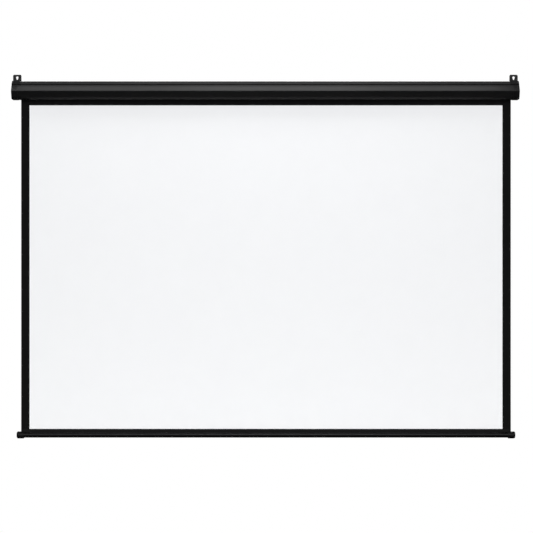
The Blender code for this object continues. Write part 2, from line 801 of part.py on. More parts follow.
def make_plate(name, side, hole):
    """Steel bracket plate on the cap's bosses, with a shaped hole at the roller's axis."""
    outline = stadium((AXIS_Y, AXIS_Z), PLATE_HALF_WIDTH, plate_reach())
    holes = [circle(centre, PLATE_SCREW_RADIUS + SEAT_GAP, SMALL_STEPS) for centre in boss_centres()]
    plate = outline_body(name, [outline, hole] + holes, *span(side, PLATE_INNER, PLATE_FACE))
    link_part(plate, "zinc_steel")


def make_plate_screws(side, word):
    """Two screws that hold a bracket plate on its bosses."""
    top = PLATE_INNER - SEAT_GAP - SCREW_HEAD_HEIGHT
    under = PLATE_INNER - SEAT_GAP
    tip = under + PLATE_SCREW_REACH
    profile = [
        (0, tip),
        (PLATE_SCREW_RADIUS, tip),
        (PLATE_SCREW_RADIUS, under),
        (PLATE_SCREW_HEAD, under),
        (PLATE_SCREW_HEAD, top + HEAD_EDGE * SCREW_HEAD_HEIGHT),
        (PLATE_SCREW_HEAD * HEAD_CROWN, top),
        (0, top),
    ]
    for place_word, centre in zip(("upper", "lower"), boss_centres()):
        place = (0, centre[0], centre[1])
        name = "%s_plate_screw_%s" % (word, place_word)
        link_part(turned_body(name, profile, place, side, SMALL_STEPS), "zinc_steel")


def square(side_length):
    """Square outline on the roller's axis."""
    return regular_outline((AXIS_Y, AXIS_Z), side_length, 4)


def adjuster_places():
    """Places along X of the two limit adjusters, under the motor's head."""
    head_middle = -(PLATE_INNER - SEAT_GAP - HEAD_LENGTH / 2)
    return [head_middle - ADJUSTER_SPACING / 2, head_middle + ADJUSTER_SPACING / 2]


def adjuster_levels():
    """Lower and upper end of the limit adjusters."""
    low = AXIS_Z - HEAD_RADIUS - ADJUSTER_PROUD
    return low, low + ADJUSTER_LENGTH


def make_motor():
    """Motor head with its square stub in the bracket, and the motor tube in the roller."""
    face = PLATE_INNER - SEAT_GAP
    head_end = face - HEAD_LENGTH
    head_profile = [
        (0, face),
        (HEAD_RADIUS - EDGE_BREAK, face),
        (HEAD_RADIUS, face - EDGE_BREAK),
        (HEAD_RADIUS, head_end + EDGE_BREAK),
        (HEAD_RADIUS - EDGE_BREAK, head_end),
        (0, head_end),
    ]
    head = turned_body("motor_head", head_profile, (0, AXIS_Y, AXIS_Z), LEFT)
    stub_tip = PLATE_FACE + BOSS_HEIGHT / 2
    join(head, outline_body("motor_stub", [square(STUB_SIDE)], *span(LEFT, face - FUSE, stub_tip)))
    low, high = adjuster_levels()
    for index, x in enumerate(adjuster_places()):
        pit = upright_cylinder("adjuster_pit%d" % index, ADJUSTER_RADIUS + SEAT_GAP, low - CUT_PAST,
                               high + SEAT_GAP, x, AXIS_Y)
        cut(head, pit)
    link_part(head, "black_plastic")

    start = head_end - SEAT_GAP
    end = start - MOTOR_LENGTH
    link_part(cylinder("motor_tube", MOTOR_RADIUS, end, start, (AXIS_Y, AXIS_Z), LEFT), "zinc_steel")
    return end


def make_adjuster(name, x, finish):
    """Limit adjuster: a small round screw with a hexagonal socket, facing down."""
    low, high = adjuster_levels()
    screw = upright_cylinder(name, ADJUSTER_RADIUS, low, high, x, AXIS_Y)
    socket = upright_cylinder(name + "_socket", ADJUSTER_SOCKET_RADIUS, low - CUT_PAST,
                              low + ADJUSTER_SOCKET_DEPTH, x, AXIS_Y, 6)
    cut(screw, socket)
    link_part(screw, finish)
    return screw


def wheel_outline():
    """Drive wheel outline: a round rim with notches that key it in the roller."""
    rim = TUBE_INNER - SEAT_GAP
    notch_half = 360 / WHEEL_NOTCHES / 8
    points = []
    for index in range(WHEEL_NOTCHES):
        middle = 360 * index / WHEEL_NOTCHES
        points += arc((AXIS_Y, AXIS_Z), rim - WHEEL_NOTCH_DEPTH, middle - notch_half, middle + notch_half, 2)
        points += arc((AXIS_Y, AXIS_Z), rim, middle + notch_half, middle + 360 / WHEEL_NOTCHES - notch_half, 6)
    return points


def make_drive(motor_end):
    """What turns with the roller at the motor's side: crown, output shaft and drive wheel."""
    roller_left = ROLLER_HALF - SHEET_OFFSET
    crown_profile = [
        (ROLLER_RADIUS, roller_left + SEAT_GAP + FLANGE_THICKNESS),
        (ROLLER_RADIUS, roller_left + SEAT_GAP),
        (TUBE_INNER - SEAT_GAP, roller_left + SEAT_GAP),
        (TUBE_INNER - SEAT_GAP, roller_left - CROWN_LENGTH),
        (MOTOR_RADIUS + RUNNING_GAP, roller_left - CROWN_LENGTH),
        (MOTOR_RADIUS + RUNNING_GAP, roller_left + SEAT_GAP + FLANGE_THICKNESS),
    ]
    crown = turned_body("motor_crown", crown_profile, (0, AXIS_Y, AXIS_Z), LEFT, INNER_STEPS, ring=True)
    link_part(crown, "black_plastic")

    centre = (AXIS_Y, AXIS_Z)
    shaft_start = motor_end - SEAT_GAP
    shaft_end = shaft_start - WHEEL_LENGTH - 2 * SHAFT_OVERHANG
    shaft = outline_body("output_shaft", [regular_outline(centre, SHAFT_FLATS, 6)],
                         *span(LEFT, shaft_end, shaft_start))
    link_part(shaft, "zinc_steel")
    bore = regular_outline(centre, SHAFT_FLATS + 2 * SEAT_GAP, 6)
    wheel_start = shaft_start - SHAFT_OVERHANG
    wheel = outline_body("drive_wheel", [wheel_outline(), bore],
                         *span(LEFT, wheel_start - WHEEL_LENGTH, wheel_start))
    link_part(wheel, "grey_plastic")
    return [crown, shaft, wheel]


def make_idler():
    """Idler end: the fixed pin and, on the roller, the plug with its bush."""
    roller_right = ROLLER_HALF + SHEET_OFFSET
    centre = (0, AXIS_Y, AXIS_Z)
    head_face = PLATE_FACE + SEAT_GAP
    tip = PLATE_INNER - PIN_LENGTH
    pin_profile = [
        (0, head_face + BOSS_HEIGHT / 2),
        (PIN_HEAD_RADIUS, head_face + BOSS_HEIGHT / 2),
        (PIN_HEAD_RADIUS, head_face),
        (PIN_RADIUS, head_face),
        (PIN_RADIUS, tip + EDGE_BREAK),
        (PIN_RADIUS - EDGE_BREAK, tip),
        (0, tip),
    ]
    link_part(turned_body("idler_pin", pin_profile, centre, steps=INNER_STEPS), "zinc_steel")

    bush_outer = PIN_RADIUS + RUNNING_GAP + BUSH_WALL
    bush_start = roller_right - PLUG_LENGTH + PLUG_FLOOR
    bush_end = roller_right + SEAT_GAP + FLANGE_THICKNESS
    bush = ring_body("idler_bush", bush_outer, PIN_RADIUS + RUNNING_GAP, bush_start, bush_end,
                     (AXIS_Y, AXIS_Z), steps=INNER_STEPS)
    link_part(bush, "aluminium")
    plug_profile = [
        (ROLLER_RADIUS, bush_end),
        (ROLLER_RADIUS, roller_right + SEAT_GAP),
        (TUBE_INNER - SEAT_GAP, roller_right + SEAT_GAP),
        (TUBE_INNER - SEAT_GAP, roller_right - PLUG_LENGTH),
        (PIN_RADIUS + PIN_ROOM, roller_right - PLUG_LENGTH),
        (PIN_RADIUS + PIN_ROOM, bush_start - SEAT_GAP),
        (bush_outer + SEAT_GAP, bush_start - SEAT_GAP),
        (bush_outer + SEAT_GAP, bush_end),
    ]
    plug = turned_body("idler_plug", plug_profile, centre, steps=INNER_STEPS, ring=True)
    link_part(plug, "black_plastic")
    return [bush, plug]


def roller_span():
    """The roller's two ends along X."""
    return SHEET_OFFSET - ROLLER_HALF, SHEET_OFFSET + ROLLER_HALF


def make_roller():
    """Roller tube with a keyway on top, and the strip that holds the sheet's end in it."""
    centre = (AXIS_Y, AXIS_Z)
    half = math.degrees(math.asin(KEYWAY_WIDTH / 2 / ROLLER_RADIUS))
    inner_half = math.degrees(math.asin(KEYWAY_WIDTH / 2 / (ROLLER_RADIUS - KEYWAY_DEPTH)))
    rim = arc(centre, ROLLER_RADIUS, 90 + half, 450 - half, CIRCLE_STEPS)
    floor = arc(centre, ROLLER_RADIUS - KEYWAY_DEPTH, 90 - inner_half, 90 + inner_half, 2)
    tube = outline_body("roller_tube", [rim + floor, circle(centre, TUBE_INNER)], *roller_span())
    link_part(tube, "aluminium")

    strip_half = KEYWAY_WIDTH / 2 - SEAT_GAP
    low = AXIS_Z + ROLLER_RADIUS - KEYWAY_DEPTH + SEAT_GAP
    outline = [
        Vector((AXIS_Y - strip_half, low)),
        Vector((AXIS_Y + strip_half, low)),
        Vector((AXIS_Y + strip_half, low + KEYWAY_DEPTH - 2 * SEAT_GAP)),
        Vector((AXIS_Y - strip_half, low + KEYWAY_DEPTH - 2 * SEAT_GAP)),
    ]
    sheet_half = SHEET_WIDTH / 2
    strip = outline_body("cloth_strip", [outline], SHEET_OFFSET - sheet_half, SHEET_OFFSET + sheet_half)
    link_part(strip, "grey_plastic")
    return [tube, strip]


def make_leader():
    """The turns of sheet that stay on the roller, wound from the keyway to where it leaves."""
    steps = LEADER_TURNS * CIRCLE_STEPS
    inner_side = []
    outer_side = []
    least_gap = LEADER_PITCH
    for step in range(steps + 1):
        angle = math.tau * LEADER_TURNS * step / steps
        radius = LEADER_START + LEADER_PITCH * (LEADER_TURNS - angle / math.tau)
        direction = Vector((math.cos(angle), math.sin(angle)))
        centre = Vector((AXIS_Y, AXIS_Z))
        inner_side.append(centre + direction * radius)
        outer_side.append(centre + direction * (radius + SHEET_THICKNESS))
    for inner_point, outer_point in zip(inner_side, outer_side[CIRCLE_STEPS:]):
        least_gap = min(least_gap, (inner_point - outer_point).length)
    print("least gap between the leader's turns: %.2f mm" % (least_gap / MM))
    half = SHEET_WIDTH / 2
    leader = outline_body("wound_leader", [outer_side + inner_side[::-1]], SHEET_OFFSET - half,
                          SHEET_OFFSET + half)
    link_part(leader, "black_mask")
    return leader


def make_sheet():
    """Flat sheet from the roller down to the hem, white inside a printed black mask."""
    half = SHEET_WIDTH / 2
    low = (SHEET_OFFSET - half, SHEET_Y - SHEET_THICKNESS / 2, VIEW_BOTTOM)
    high = (SHEET_OFFSET + half, SHEET_Y + SHEET_THICKNESS / 2, SHEET_TOP)
    sheet = box_body("screen_sheet", low, high)
    middle = Vector(sheet.location)
    drawn = bmesh.new()
    drawn.from_mesh(sheet.data)
    view_left = SHEET_OFFSET - VIEW_WIDTH / 2
    view_right = SHEET_OFFSET + VIEW_WIDTH / 2
    planes = [((view_left, 0, 0), (1, 0, 0)), ((view_right, 0, 0), (1, 0, 0)), ((0, 0, VIEW_TOP), (0, 0, 1))]
    for point, normal in planes:
        everything = drawn.verts[:] + drawn.edges[:] + drawn.faces[:]
        bmesh.ops.bisect_plane(drawn, geom=everything, plane_co=Vector(point) - middle, plane_no=normal)
    for face in drawn.faces:
        centre = face.calc_center_median() + middle
        white = view_left < centre.x < view_right and centre.z < VIEW_TOP
        face.material_index = 0 if white else 1
    drawn.to_mesh(sheet.data)
    drawn.free()
    link_part(sheet, "white_sheet")
    add_finish(sheet, "black_mask")


def rod_height():
    """Height of the hem's rod, hanging the hem's loop just under the bar's slot."""
    bore = BAR_RADIUS - BAR_WALL
    loop = ROD_RADIUS + SEAT_GAP + HEM_THICKNESS
    half_slot = BAR_SLOT / 2
    seat = math.sqrt(bore ** 2 - half_slot ** 2) - math.sqrt(loop ** 2 - half_slot ** 2)
    return BAR_Z + seat - SEAT_GAP


def make_hem():
    """Black hem: a doubled strip that runs into the bar and loops round its rod."""
    loop_inner = ROD_RADIUS + SEAT_GAP
    loop_outer = loop_inner + HEM_THICKNESS
    half = HEM_THICKNESS / 2
    lean = math.degrees(math.asin(half / loop_outer))
    centre = (SHEET_Y, rod_height())
    outline = [Vector((SHEET_Y + half, HEM_TOP)), Vector((SHEET_Y - half, HEM_TOP))]
    outline += arc(centre, loop_outer, 90 + lean, 450 - lean, 32)
    width_half = SHEET_WIDTH / 2
    ends = (SHEET_OFFSET - width_half, SHEET_OFFSET + width_half)
    hem = outline_body("bottom_hem", [outline, circle(centre, loop_inner, 24)], *ends)
    link_part(hem, "black_mask")
    rod = outline_body("hem_rod", [circle(centre, ROD_RADIUS, 24)], *ends)
    link_part(rod, "zinc_steel")
    return [hem, rod]


def make_weight_bar():
    """Slotted round bar with a moulded cap on each end."""
    centre = (SHEET_Y, BAR_Z)
    outer_half = math.degrees(math.asin(BAR_SLOT / 2 / BAR_RADIUS))
    inner_half = math.degrees(math.asin(BAR_SLOT / 2 / (BAR_RADIUS - BAR_WALL)))
    outline = arc(centre, BAR_RADIUS, 90 + outer_half, 450 - outer_half, CIRCLE_STEPS)
    outline += arc(centre, BAR_RADIUS - BAR_WALL, 450 - inner_half, 90 + inner_half, CIRCLE_STEPS)
    tube_half = BAR_HALF - BAR_CAP_END - SEAT_GAP
    bar = outline_body("weight_bar", [outline], SHEET_OFFSET - tube_half, SHEET_OFFSET + tube_half)
    link_part(bar, "case_paint")
    pieces = [bar]

    tip = BAR_HALF
    mouth = BAR_HALF - BAR_CAP_LENGTH
    floor = BAR_HALF - BAR_CAP_END
    bore = BAR_RADIUS + SEAT_GAP
    rounding = []
    for step in range(CORNER_STEPS + 1):
        angle = math.pi / 2 * step / CORNER_STEPS
        rounding.append((BAR_CAP_RADIUS - BAR_CAP_ROUND * (1 - math.sin(angle)),
                         tip - BAR_CAP_ROUND * (1 - math.cos(angle))))
    profile = [(0, tip)] + rounding
    profile += [
        (BAR_CAP_RADIUS, mouth + BAR_CAP_CHAMFER),
        (bore + BAR_CAP_LIP, mouth),
        (bore, mouth),
        (bore, floor),
        (0, floor),
    ]
    for name, side in (("left_bar_cap", LEFT), ("right_bar_cap", RIGHT)):
        cap = turned_body(name, profile, (SHEET_OFFSET, SHEET_Y, BAR_Z), side)
        slot_end = SHEET_WIDTH / 2 + SEAT_GAP
        low_x, high_x = span(side, mouth - CUT_PAST, slot_end)
        low = (SHEET_OFFSET + low_x, SHEET_Y - BAR_SLOT / 2, BAR_Z + BAR_RADIUS - BAR_WALL)
        high = (SHEET_OFFSET + high_x, SHEET_Y + BAR_SLOT / 2, BAR_Z + BAR_CAP_RADIUS + CUT_PAST)
        cut(cap, box_body(name + "_slot", low, high))
        link_part(cap, "black_plastic")
        pieces.append(cap)
    return pieces


def sharp_by_angle():
    """Node group that keeps the shading smooth except over edges past the sharp angle."""
    group = bpy.data.node_groups.new("sharp_by_angle", "GeometryNodeTree")
    group.is_modifier = True
    group.interface.new_socket("Geometry", in_out="INPUT", socket_type="NodeSocketGeometry")
    group.interface.new_socket("Geometry", in_out="OUTPUT", socket_type="NodeSocketGeometry")
    given = group.nodes.new("NodeGroupInput")
    result = group.nodes.new("NodeGroupOutput")
    faces = group.nodes.new("GeometryNodeSetShadeSmooth")
    faces.domain = "FACE"
    edges = group.nodes.new("GeometryNodeSetShadeSmooth")
    edges.domain = "EDGE"
    angle = group.nodes.new("GeometryNodeInputMeshEdgeAngle")
    compare = group.nodes.new("FunctionNodeCompare")
    compare.operation = "LESS_EQUAL"
    compare.inputs["B"].default_value = SHARP_ANGLE
    group.links.new(given.outputs[0], faces.inputs["Geometry"])
    group.links.new(faces.outputs["Geometry"], edges.inputs["Geometry"])
    group.links.new(angle.outputs["Unsigned Angle"], compare.inputs["A"])
    group.links.new(compare.outputs["Result"], edges.inputs["Shade Smooth"])
    group.links.new(edges.outputs["Geometry"], result.inputs[0])
    return group


def shade_parts():
    """Shade round walls smooth and flat faces flat on every piece."""
    group = sharp_by_angle()
    for item in PARTS.objects:
        if item.type == "MESH":
            item.modifiers.new("Sharp edges", "NODES").node_group = group
            weights = item.modifiers.new("Flat faces", "WEIGHTED_NORMAL")
            weights.keep_sharp = True


def carry(name, place, pieces):
    """Parent pieces to an empty on their joint's axis, leaving them where they are."""
    pivot = bpy.data.objects.new(name, None)
    pivot.location = place
    PARTS.objects.link(pivot)
    bpy.context.view_layer.update()
    for piece in pieces:
        piece.parent = pivot
        piece.matrix_parent_inverse = pivot.matrix_world.inverted()


def main():
    """Build every piece and hang the moving ones on their axes."""
    make_case()
    make_end_caps()
    make_grommet()
    for side, word in ((LEFT, "left"), (RIGHT, "right")):
        make_cap_screws(side, word)
        make_bracket(word + "_hanging_bracket", side)
    make_plate("motor_bracket", LEFT, square(STUB_SIDE + 2 * SEAT_GAP))
    make_plate_screws(LEFT, "motor")
    make_plate("idler_bracket", RIGHT, circle((AXIS_Y, AXIS_Z), PIN_RADIUS + SEAT_GAP))
    make_plate_screws(RIGHT, "idler")
    motor_end = make_motor()

    upper_x, lower_x = adjuster_places()
    low, high = adjuster_levels()
    upper = make_adjuster("upper_limit_adjuster", upper_x, "adjuster_white")
    lower = make_adjuster("lower_limit_adjuster", lower_x, "adjuster_yellow")
    carry("upper_limit_axis", (upper_x, AXIS_Y, low), [upper])
    carry("lower_limit_axis", (lower_x, AXIS_Y, low), [lower])

    turning = make_drive(motor_end) + make_idler() + make_roller() + [make_leader()]
    carry("roller_axis", (0, AXIS_Y, AXIS_Z), turning)
    make_sheet()
    carry("bar_axis", (SHEET_OFFSET, SHEET_Y, BAR_Z), make_hem() + make_weight_bar())
    shade_parts()


main()
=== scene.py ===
"""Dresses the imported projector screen: detailed pieces, finishes, soft studio light and camera."""
import math
from typing import NamedTuple

import bmesh
import bpy
from bpy.props import FloatProperty, FloatVectorProperty, PointerProperty
from bpy.types import Operator, Panel, PropertyGroup
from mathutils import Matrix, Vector


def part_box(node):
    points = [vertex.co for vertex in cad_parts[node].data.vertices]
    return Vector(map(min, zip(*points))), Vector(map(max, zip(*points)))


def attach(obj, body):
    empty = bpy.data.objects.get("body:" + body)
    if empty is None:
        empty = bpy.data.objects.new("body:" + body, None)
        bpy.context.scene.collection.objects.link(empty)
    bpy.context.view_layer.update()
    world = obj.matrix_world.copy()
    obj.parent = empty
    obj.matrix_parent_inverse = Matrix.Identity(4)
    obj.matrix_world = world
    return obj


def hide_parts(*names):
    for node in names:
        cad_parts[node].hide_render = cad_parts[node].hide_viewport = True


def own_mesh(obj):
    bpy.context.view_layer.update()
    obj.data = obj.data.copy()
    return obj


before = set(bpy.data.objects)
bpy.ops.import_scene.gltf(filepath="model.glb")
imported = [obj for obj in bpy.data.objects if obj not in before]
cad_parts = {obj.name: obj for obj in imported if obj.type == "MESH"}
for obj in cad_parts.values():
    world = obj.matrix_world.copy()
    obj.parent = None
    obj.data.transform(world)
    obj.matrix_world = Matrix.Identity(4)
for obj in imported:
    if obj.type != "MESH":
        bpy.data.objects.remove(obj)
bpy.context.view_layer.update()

bl_info = {
    "name": "Projector screen",
    "version": (1, 0, 0),
    "blender": (4, 5, 0),
    "location": "3D View > Sidebar > Projector screen",
    "description": "Detailed pieces, finishes and studio for the packed projector screen",
    "category": "Object",
}

MM = 0.001
LEFT, RIGHT = -1, 1
SIDES = {"left": LEFT, "right": RIGHT}

CUT_PAST = 5 * MM        # how far a cutter reaches past what it cuts
FUSE = 0.5 * MM          # how far two joined solids run into each other
FIT = 0.3 * MM           # room between two pieces that fit together
HEM_LAP = 0.6 * MM       # how far the sheet runs into its hem
SMALL_ROUND = 0.35 * MM  # the case's small corners
LEAST_ROUND = 0.15 * MM  # the caps' corners, where an inset leaves less
NEAR = 0.01 * MM         # two places this close count as one
MERGE = 0.0005 * MM      # points this close are merged
SHARP_ANGLE = math.radians(32)

# Steps round a circle or along an arc.
BAR_STEPS, GROMMET_STEPS, ROUND_STEPS, HEM_STEPS, SMALL_STEPS = 96, 64, 48, 40, 32
PORT_STEPS, CROWN_STEPS, NARROW_STEPS, BAR_CAP_STEPS, EAR_STEPS = 28, 18, 16, 14, 12
RIM_STEPS, BEND_STEPS, CORNER_STEPS, MOUTH_STEPS = 8, 8, 5, 3


def linear(value):
    """Linear colour with alpha from an sRGB hex value."""
    channels = []
    for shift in (16, 8, 0):
        share = (value >> shift & 255) / 255
        channels.append(share / 12.92 if share <= 0.04045 else ((share + 0.055) / 1.055) ** 2.4)
    return (*channels, 1.0)


def length(label, description, millimetres):
    """Property for a length."""
    return FloatProperty(name=label, description=description, default=millimetres * MM,
                         unit="LENGTH", precision=5)


def power(label, description, watts):
    """Property for the power of a light."""
    return FloatProperty(name=label, description=description, default=watts, subtype="POWER")


def tint(label, description, value):
    """Property for a colour, given as an sRGB hex value."""
    return FloatVectorProperty(name=label, description=description, default=linear(value)[:3],
                               size=3, min=0, max=1, subtype="COLOR")


class CaseSizes(PropertyGroup):
    """Section of the extruded case."""
    wall: length("Wall", "Thickness of the extrusion's wall", 1.6)
    top_depth: length("Top depth", "Depth of the flat top", 36)
    shoulder_depth: length("Shoulder depth", "Depth where the slope ends", 57.4)
    shoulder_height: length("Shoulder height", "Height where the slope ends", 66.2)
    groove_width: length("Groove width", "Width of the groove under the slope", 6.1)
    groove_depth: length("Groove depth", "Depth of that groove", 1.8)
    crown: length("Face crown", "How far the front face bulges", 1.2)
    nose_height: length("Nose height", "Height of the foremost edge", 34.5)
    lip_depth: length("Lip depth", "Depth where the lower face ends", 69)
    lip_height: length("Lip height", "Height where the lower face ends", 9)
    sole_depth: length("Sole depth", "Depth where the flat underside starts", 61)
    slot_width: length("Slot width", "Width of the slot that the sheet leaves by", 26)
    corner_round: length("Corner round", "Radius of the section's corners", 1.3)
    port_bore: length("Port bore", "Radius of the screw ports' bore", 1.95)
    port_wall: length("Port wall", "Wall of the screw ports", 2.4)
    port_slit: length("Port slit", "Width of the screw ports' slit", 1.6)
    port_sink: length("Port sink", "How far a port is sunk in the case's wall", 0.4)


class CapSizes(PropertyGroup):
    """Moulded end caps."""
    wall: length("Wall", "Wall of the moulding", 3)
    proud: length("Proud", "How far the cap stands out from the case in front and below", 1)
    rim_round: length("Rim round", "Radius round the outer end", 3)
    mouth_round: length("Mouth round", "Radius round the edge that meets the case", 0.7)
    recess_width: length("Recess width", "Width of the left cap's recess", 6.6)
    recess_length: length("Recess length", "Length of the left cap's recess", 18)
    recess_depth: length("Recess depth", "Depth of the recess", 1.2)
    recess_height: length("Recess height", "Height of the recess over the underside", 50)
    dimple_radius: length("Dimple radius", "Radius of the right cap's dimple", 2.6)
    boss_radius: length("Boss radius", "Radius of the bosses for the bracket plates", 4)
    boss_bore: length("Boss bore", "Radius of the bosses' bore", 1.6)
    boss_height: length("Boss height", "Height of the bosses", 3.5)
    boss_spread: length("Boss spread", "Distance of a boss from the roller's axis", 26)
    pillar_wall: length("Pillar wall", "Wall of the screw pillars", 1.6)
    access_radius: length("Access radius", "Radius of the holes to the limit adjusters", 4)


class BracketSizes(PropertyGroup):
    """Hanging brackets of bent steel strip."""
    thickness: length("Thickness", "Thickness of the strip", 2)
    bend: length("Bend", "Inner radius of the bends", 1.4)
    ear_round: length("Ear round", "Radius of the ear's corners", 6)
    edge_break: length("Edge break", "Bevel of the strip's edges", 0.3)
    hook_depth: length("Hook depth", "How far the hook reaches into the groove", 1.4)
    hook_thickness: length("Hook thickness", "Thickness of the hook", 2)
    hook_face: length("Hook face", "Thickness of the strip's front edge", 1.2)
    hole_radius: length("Hole radius", "Radius of the hole's wide end", 5.2)
    narrow_radius: length("Narrow radius", "Radius of the hole's narrow end", 2.6)
    hole_rise: length("Hole rise", "Height of the wide centre over the case's top", 19.7)
    hole_drop: length("Hole drop", "Distance between the hole's two centres", 7.7)


class FastenerSizes(PropertyGroup):
    """Cap screws and the blind grommet."""
    shank_radius: length("Shank radius", "Radius of a cap screw", 1.75)
    head_radius: length("Head radius", "Radius of its head", 3)
    head_height: length("Head height", "Height of its head", 1.5)
    bite: length("Bite", "How far it reaches into the case", 12)
    socket_flats: length("Socket", "Width across the flats of its socket", 2.5)
    thread_pitch: length("Thread pitch", "Pitch of its rolled thread", 1.0)
    thread_depth: length("Thread depth", "Depth of its rolled thread", 0.25)
    neck_radius: length("Neck radius", "Radius of the grommet's neck", 5.7)
    flange_radius: length("Flange radius", "Radius of the grommet's flanges", 8.2)
    flange: length("Flange", "Thickness of the grommet's outer flange", 0.9)
    sink: length("Sink", "How deep the grommet's seat is", 1.2)


class SheetSizes(PropertyGroup):
    """Screen cloth."""
    view_width: length("View width", "Width of the white area", 2097)
    top_band: length("Top band", "Black band under the case", 25)
    wave: length("Wave", "Height of the soft waves in the hanging sheet", 0.7)
    wave_pitch: length("Wave pitch", "Distance between the waves", 740)
    wave_fade: length("Wave fade", "Length in which the waves die out towards roller and hem", 180)
    curl: length("Edge curl", "How far the side edges curl back", 0.6)
    curl_width: length("Curl width", "Width of the curled edge", 70)


class BarSizes(PropertyGroup):
    """Weight bar, its caps and the hem."""
    radius: length("Bar radius", "Radius of the bar", 12.05)
    wall: length("Bar wall", "Wall of the bar", 1.5)
    slot: length("Slot", "Width of the slot along the bar's top", 2.8)
    slot_round: length("Slot round", "Radius of the slot's lips", 0.5)
    cap_radius: length("Cap radius", "Radius of the bar's caps", 15.7)
    cap_round: length("Cap round", "Radius of the caps' outer end", 7)
    cap_chamfer: length("Cap chamfer", "Chamfer of the caps' inner end", 2.5)
    cap_lip: length("Cap lip", "Wall left at the caps' mouth", 0.8)
    cap_end: length("Cap end", "Thickness of the caps' end", 5)
    edge_round: length("Edge round", "Radius of the caps' small edges", 0.6)
    ply: length("Hem thickness", "Thickness of the doubled hem", 0.9)
    rod_radius: length("Rod radius", "Radius of the hem's rod", 2)
    weld_start: length("Weld start", "Distance from the hem's upper edge to its weld line", 2)
    weld_end: length("Weld end", "Distance from the hem's upper edge to the line's end", 8)
    weld_dent: length("Weld dent", "How deep the weld line is pressed in", 0.12)


class Colours(PropertyGroup):
    """Colours of the finishes."""
    coat: tint("Powder coat", "Black powder coat of the case and bar", 0x070708)
    bracket: tint("Bracket coat", "Black powder coat of the brackets", 0x0E0E0F)
    moulding: tint("Moulding", "Black of the moulded caps", 0x060607)
    cloth: tint("Cloth", "White of the screen cloth", 0xFAFBFD)
    mask: tint("Mask", "Black print of the cloth's borders", 0x0B0B0B)


class StageSettings(PropertyGroup):
    """Camera, lights and floor."""
    distance: length("Camera distance", "Distance of the camera from the sheet", 9500)
    camera_across: length("Camera across", "How far right of the middle the camera stands", 4.8)
    camera_drop: length("Camera drop", "How far under the case's middle the camera stands", 779.4)
    seen_width: length("Seen width", "Width that the camera takes in at the sheet", 2363.2)
    side_power: power("Side power", "Power of each side softbox", 70.5)
    front_power: power("Front power", "Power of the softbox above the camera's line", 60)
    top_power: power("Top power", "Power of the strip softbox over the case", 3.5)
    glow_power: power("Glow power", "Power of the shorter softbox over the case's middle", 0.55)
    low_power: power("Low power", "Power of the small softbox low in front", 0.18)
    chin_power: power("Chin power", "Power of the strip softbox under the screen", 0.5)
    back_power: power("Back power", "Power of the softbox above and behind the case", 0.7)
    rear_power: power("Rear power", "Power of the softbox that lights the back", 260)
    end_power: power("End power", "Power of the two softboxes that light the case's ends", 18)
    room_light: FloatProperty(name="Room light", description="Strength of the room's own light",
                              default=1.0)
    floor_drop: length("Floor drop", "How far the floor lies under the case's middle", 2400)
    floor_width: length("Floor width", "Width of the floor", 6400)
    floor_depth: length("Floor depth", "Depth of the floor", 5200)


SETTINGS = {
    "screen_case": CaseSizes,
    "screen_caps": CapSizes,
    "screen_brackets": BracketSizes,
    "screen_fasteners": FastenerSizes,
    "screen_cloth": SheetSizes,
    "screen_bar": BarSizes,
    "screen_colours": Colours,
    "screen_stage": StageSettings,
}


def middle_of(node):
    """Middle of a CAD node's box."""
    low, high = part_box(node)
    return (low + high) / 2


# Flat geometry: points are (depth, height), which are Y and Z of the object.

def outward(direction):
    """Unit normal on the right of a direction, which is outside of a section drawn here."""
    return Vector((direction.y, -direction.x)).normalized()


def offset_path(points, distance, closed=True):
    """Path whose sides lie outside the given ones by distance, with mitred corners."""
    count = len(points)
    moved = []
    for index, point in enumerate(points):
        normals = []
        if closed or index > 0:
            normals.append(outward(point - points[index - 1]))
        if closed or index < count - 1:
            normals.append(outward(points[(index + 1) % count] - point))
        mitre = (normals[0] + normals[-1]).normalized()
        moved.append(point + mitre * distance / mitre.dot(normals[0]))
    return moved


def arc(centre, radius, start, end, steps):
    """Points on an arc from start to end, in degrees."""
    centre = Vector(centre)
    points = []
    for step in range(steps + 1):
        angle = math.radians(start + (end - start) * step / steps)
        points.append(centre + radius * Vector((math.cos(angle), math.sin(angle))))
    return points


def circle(centre, radius, steps):
    """Points round a circle."""
    return arc(centre, radius, 0, 360, steps)[:-1]


def half_angle(width, radius):
    """Half of the angle that a width takes up on a circle, in degrees."""
    return math.degrees(math.asin(width / 2 / radius))


def quarter_round(radius, steps):
    """Points round an edge, each as its distances inside the two faces that meet there."""
    angles = [math.pi / 2 * step / steps for step in range(steps + 1)]
    return [(radius * (1 - math.sin(angle)), radius * (1 - math.cos(angle))) for angle in angles]


def rounded(corners, steps=CORNER_STEPS):
    """Closed outline from (point, radius) pairs, each corner with its own round."""
    outline = []
    for index, (point, radius) in enumerate(corners):
        if radius <= 0:
            outline.append(point)
            continue
        before = (corners[index - 1][0] - point).normalized()
        after = (corners[(index + 1) % len(corners)][0] - point).normalized()
        half = before.angle(after) / 2
        centre = point + (before + after).normalized() * radius / math.sin(half)
        start = point + before * radius / math.tan(half) - centre
        turn = start.angle_signed(point + after * radius / math.tan(half) - centre)
        for step in range(steps + 1):
            angle = -turn * step / steps
            cosine, sine = math.cos(angle), math.sin(angle)
            outline.append(centre + Vector((start.x * cosine - start.y * sine,
                                            start.x * sine + start.y * cosine)))
    return outline


def stadium(half_width, half_height):
    """Upright outline with round ends about the origin."""
    rise = half_height - half_width
    return (arc((0, rise), half_width, 0, 180, EAR_STEPS)
            + arc((0, -rise), half_width, 180, 360, EAR_STEPS))


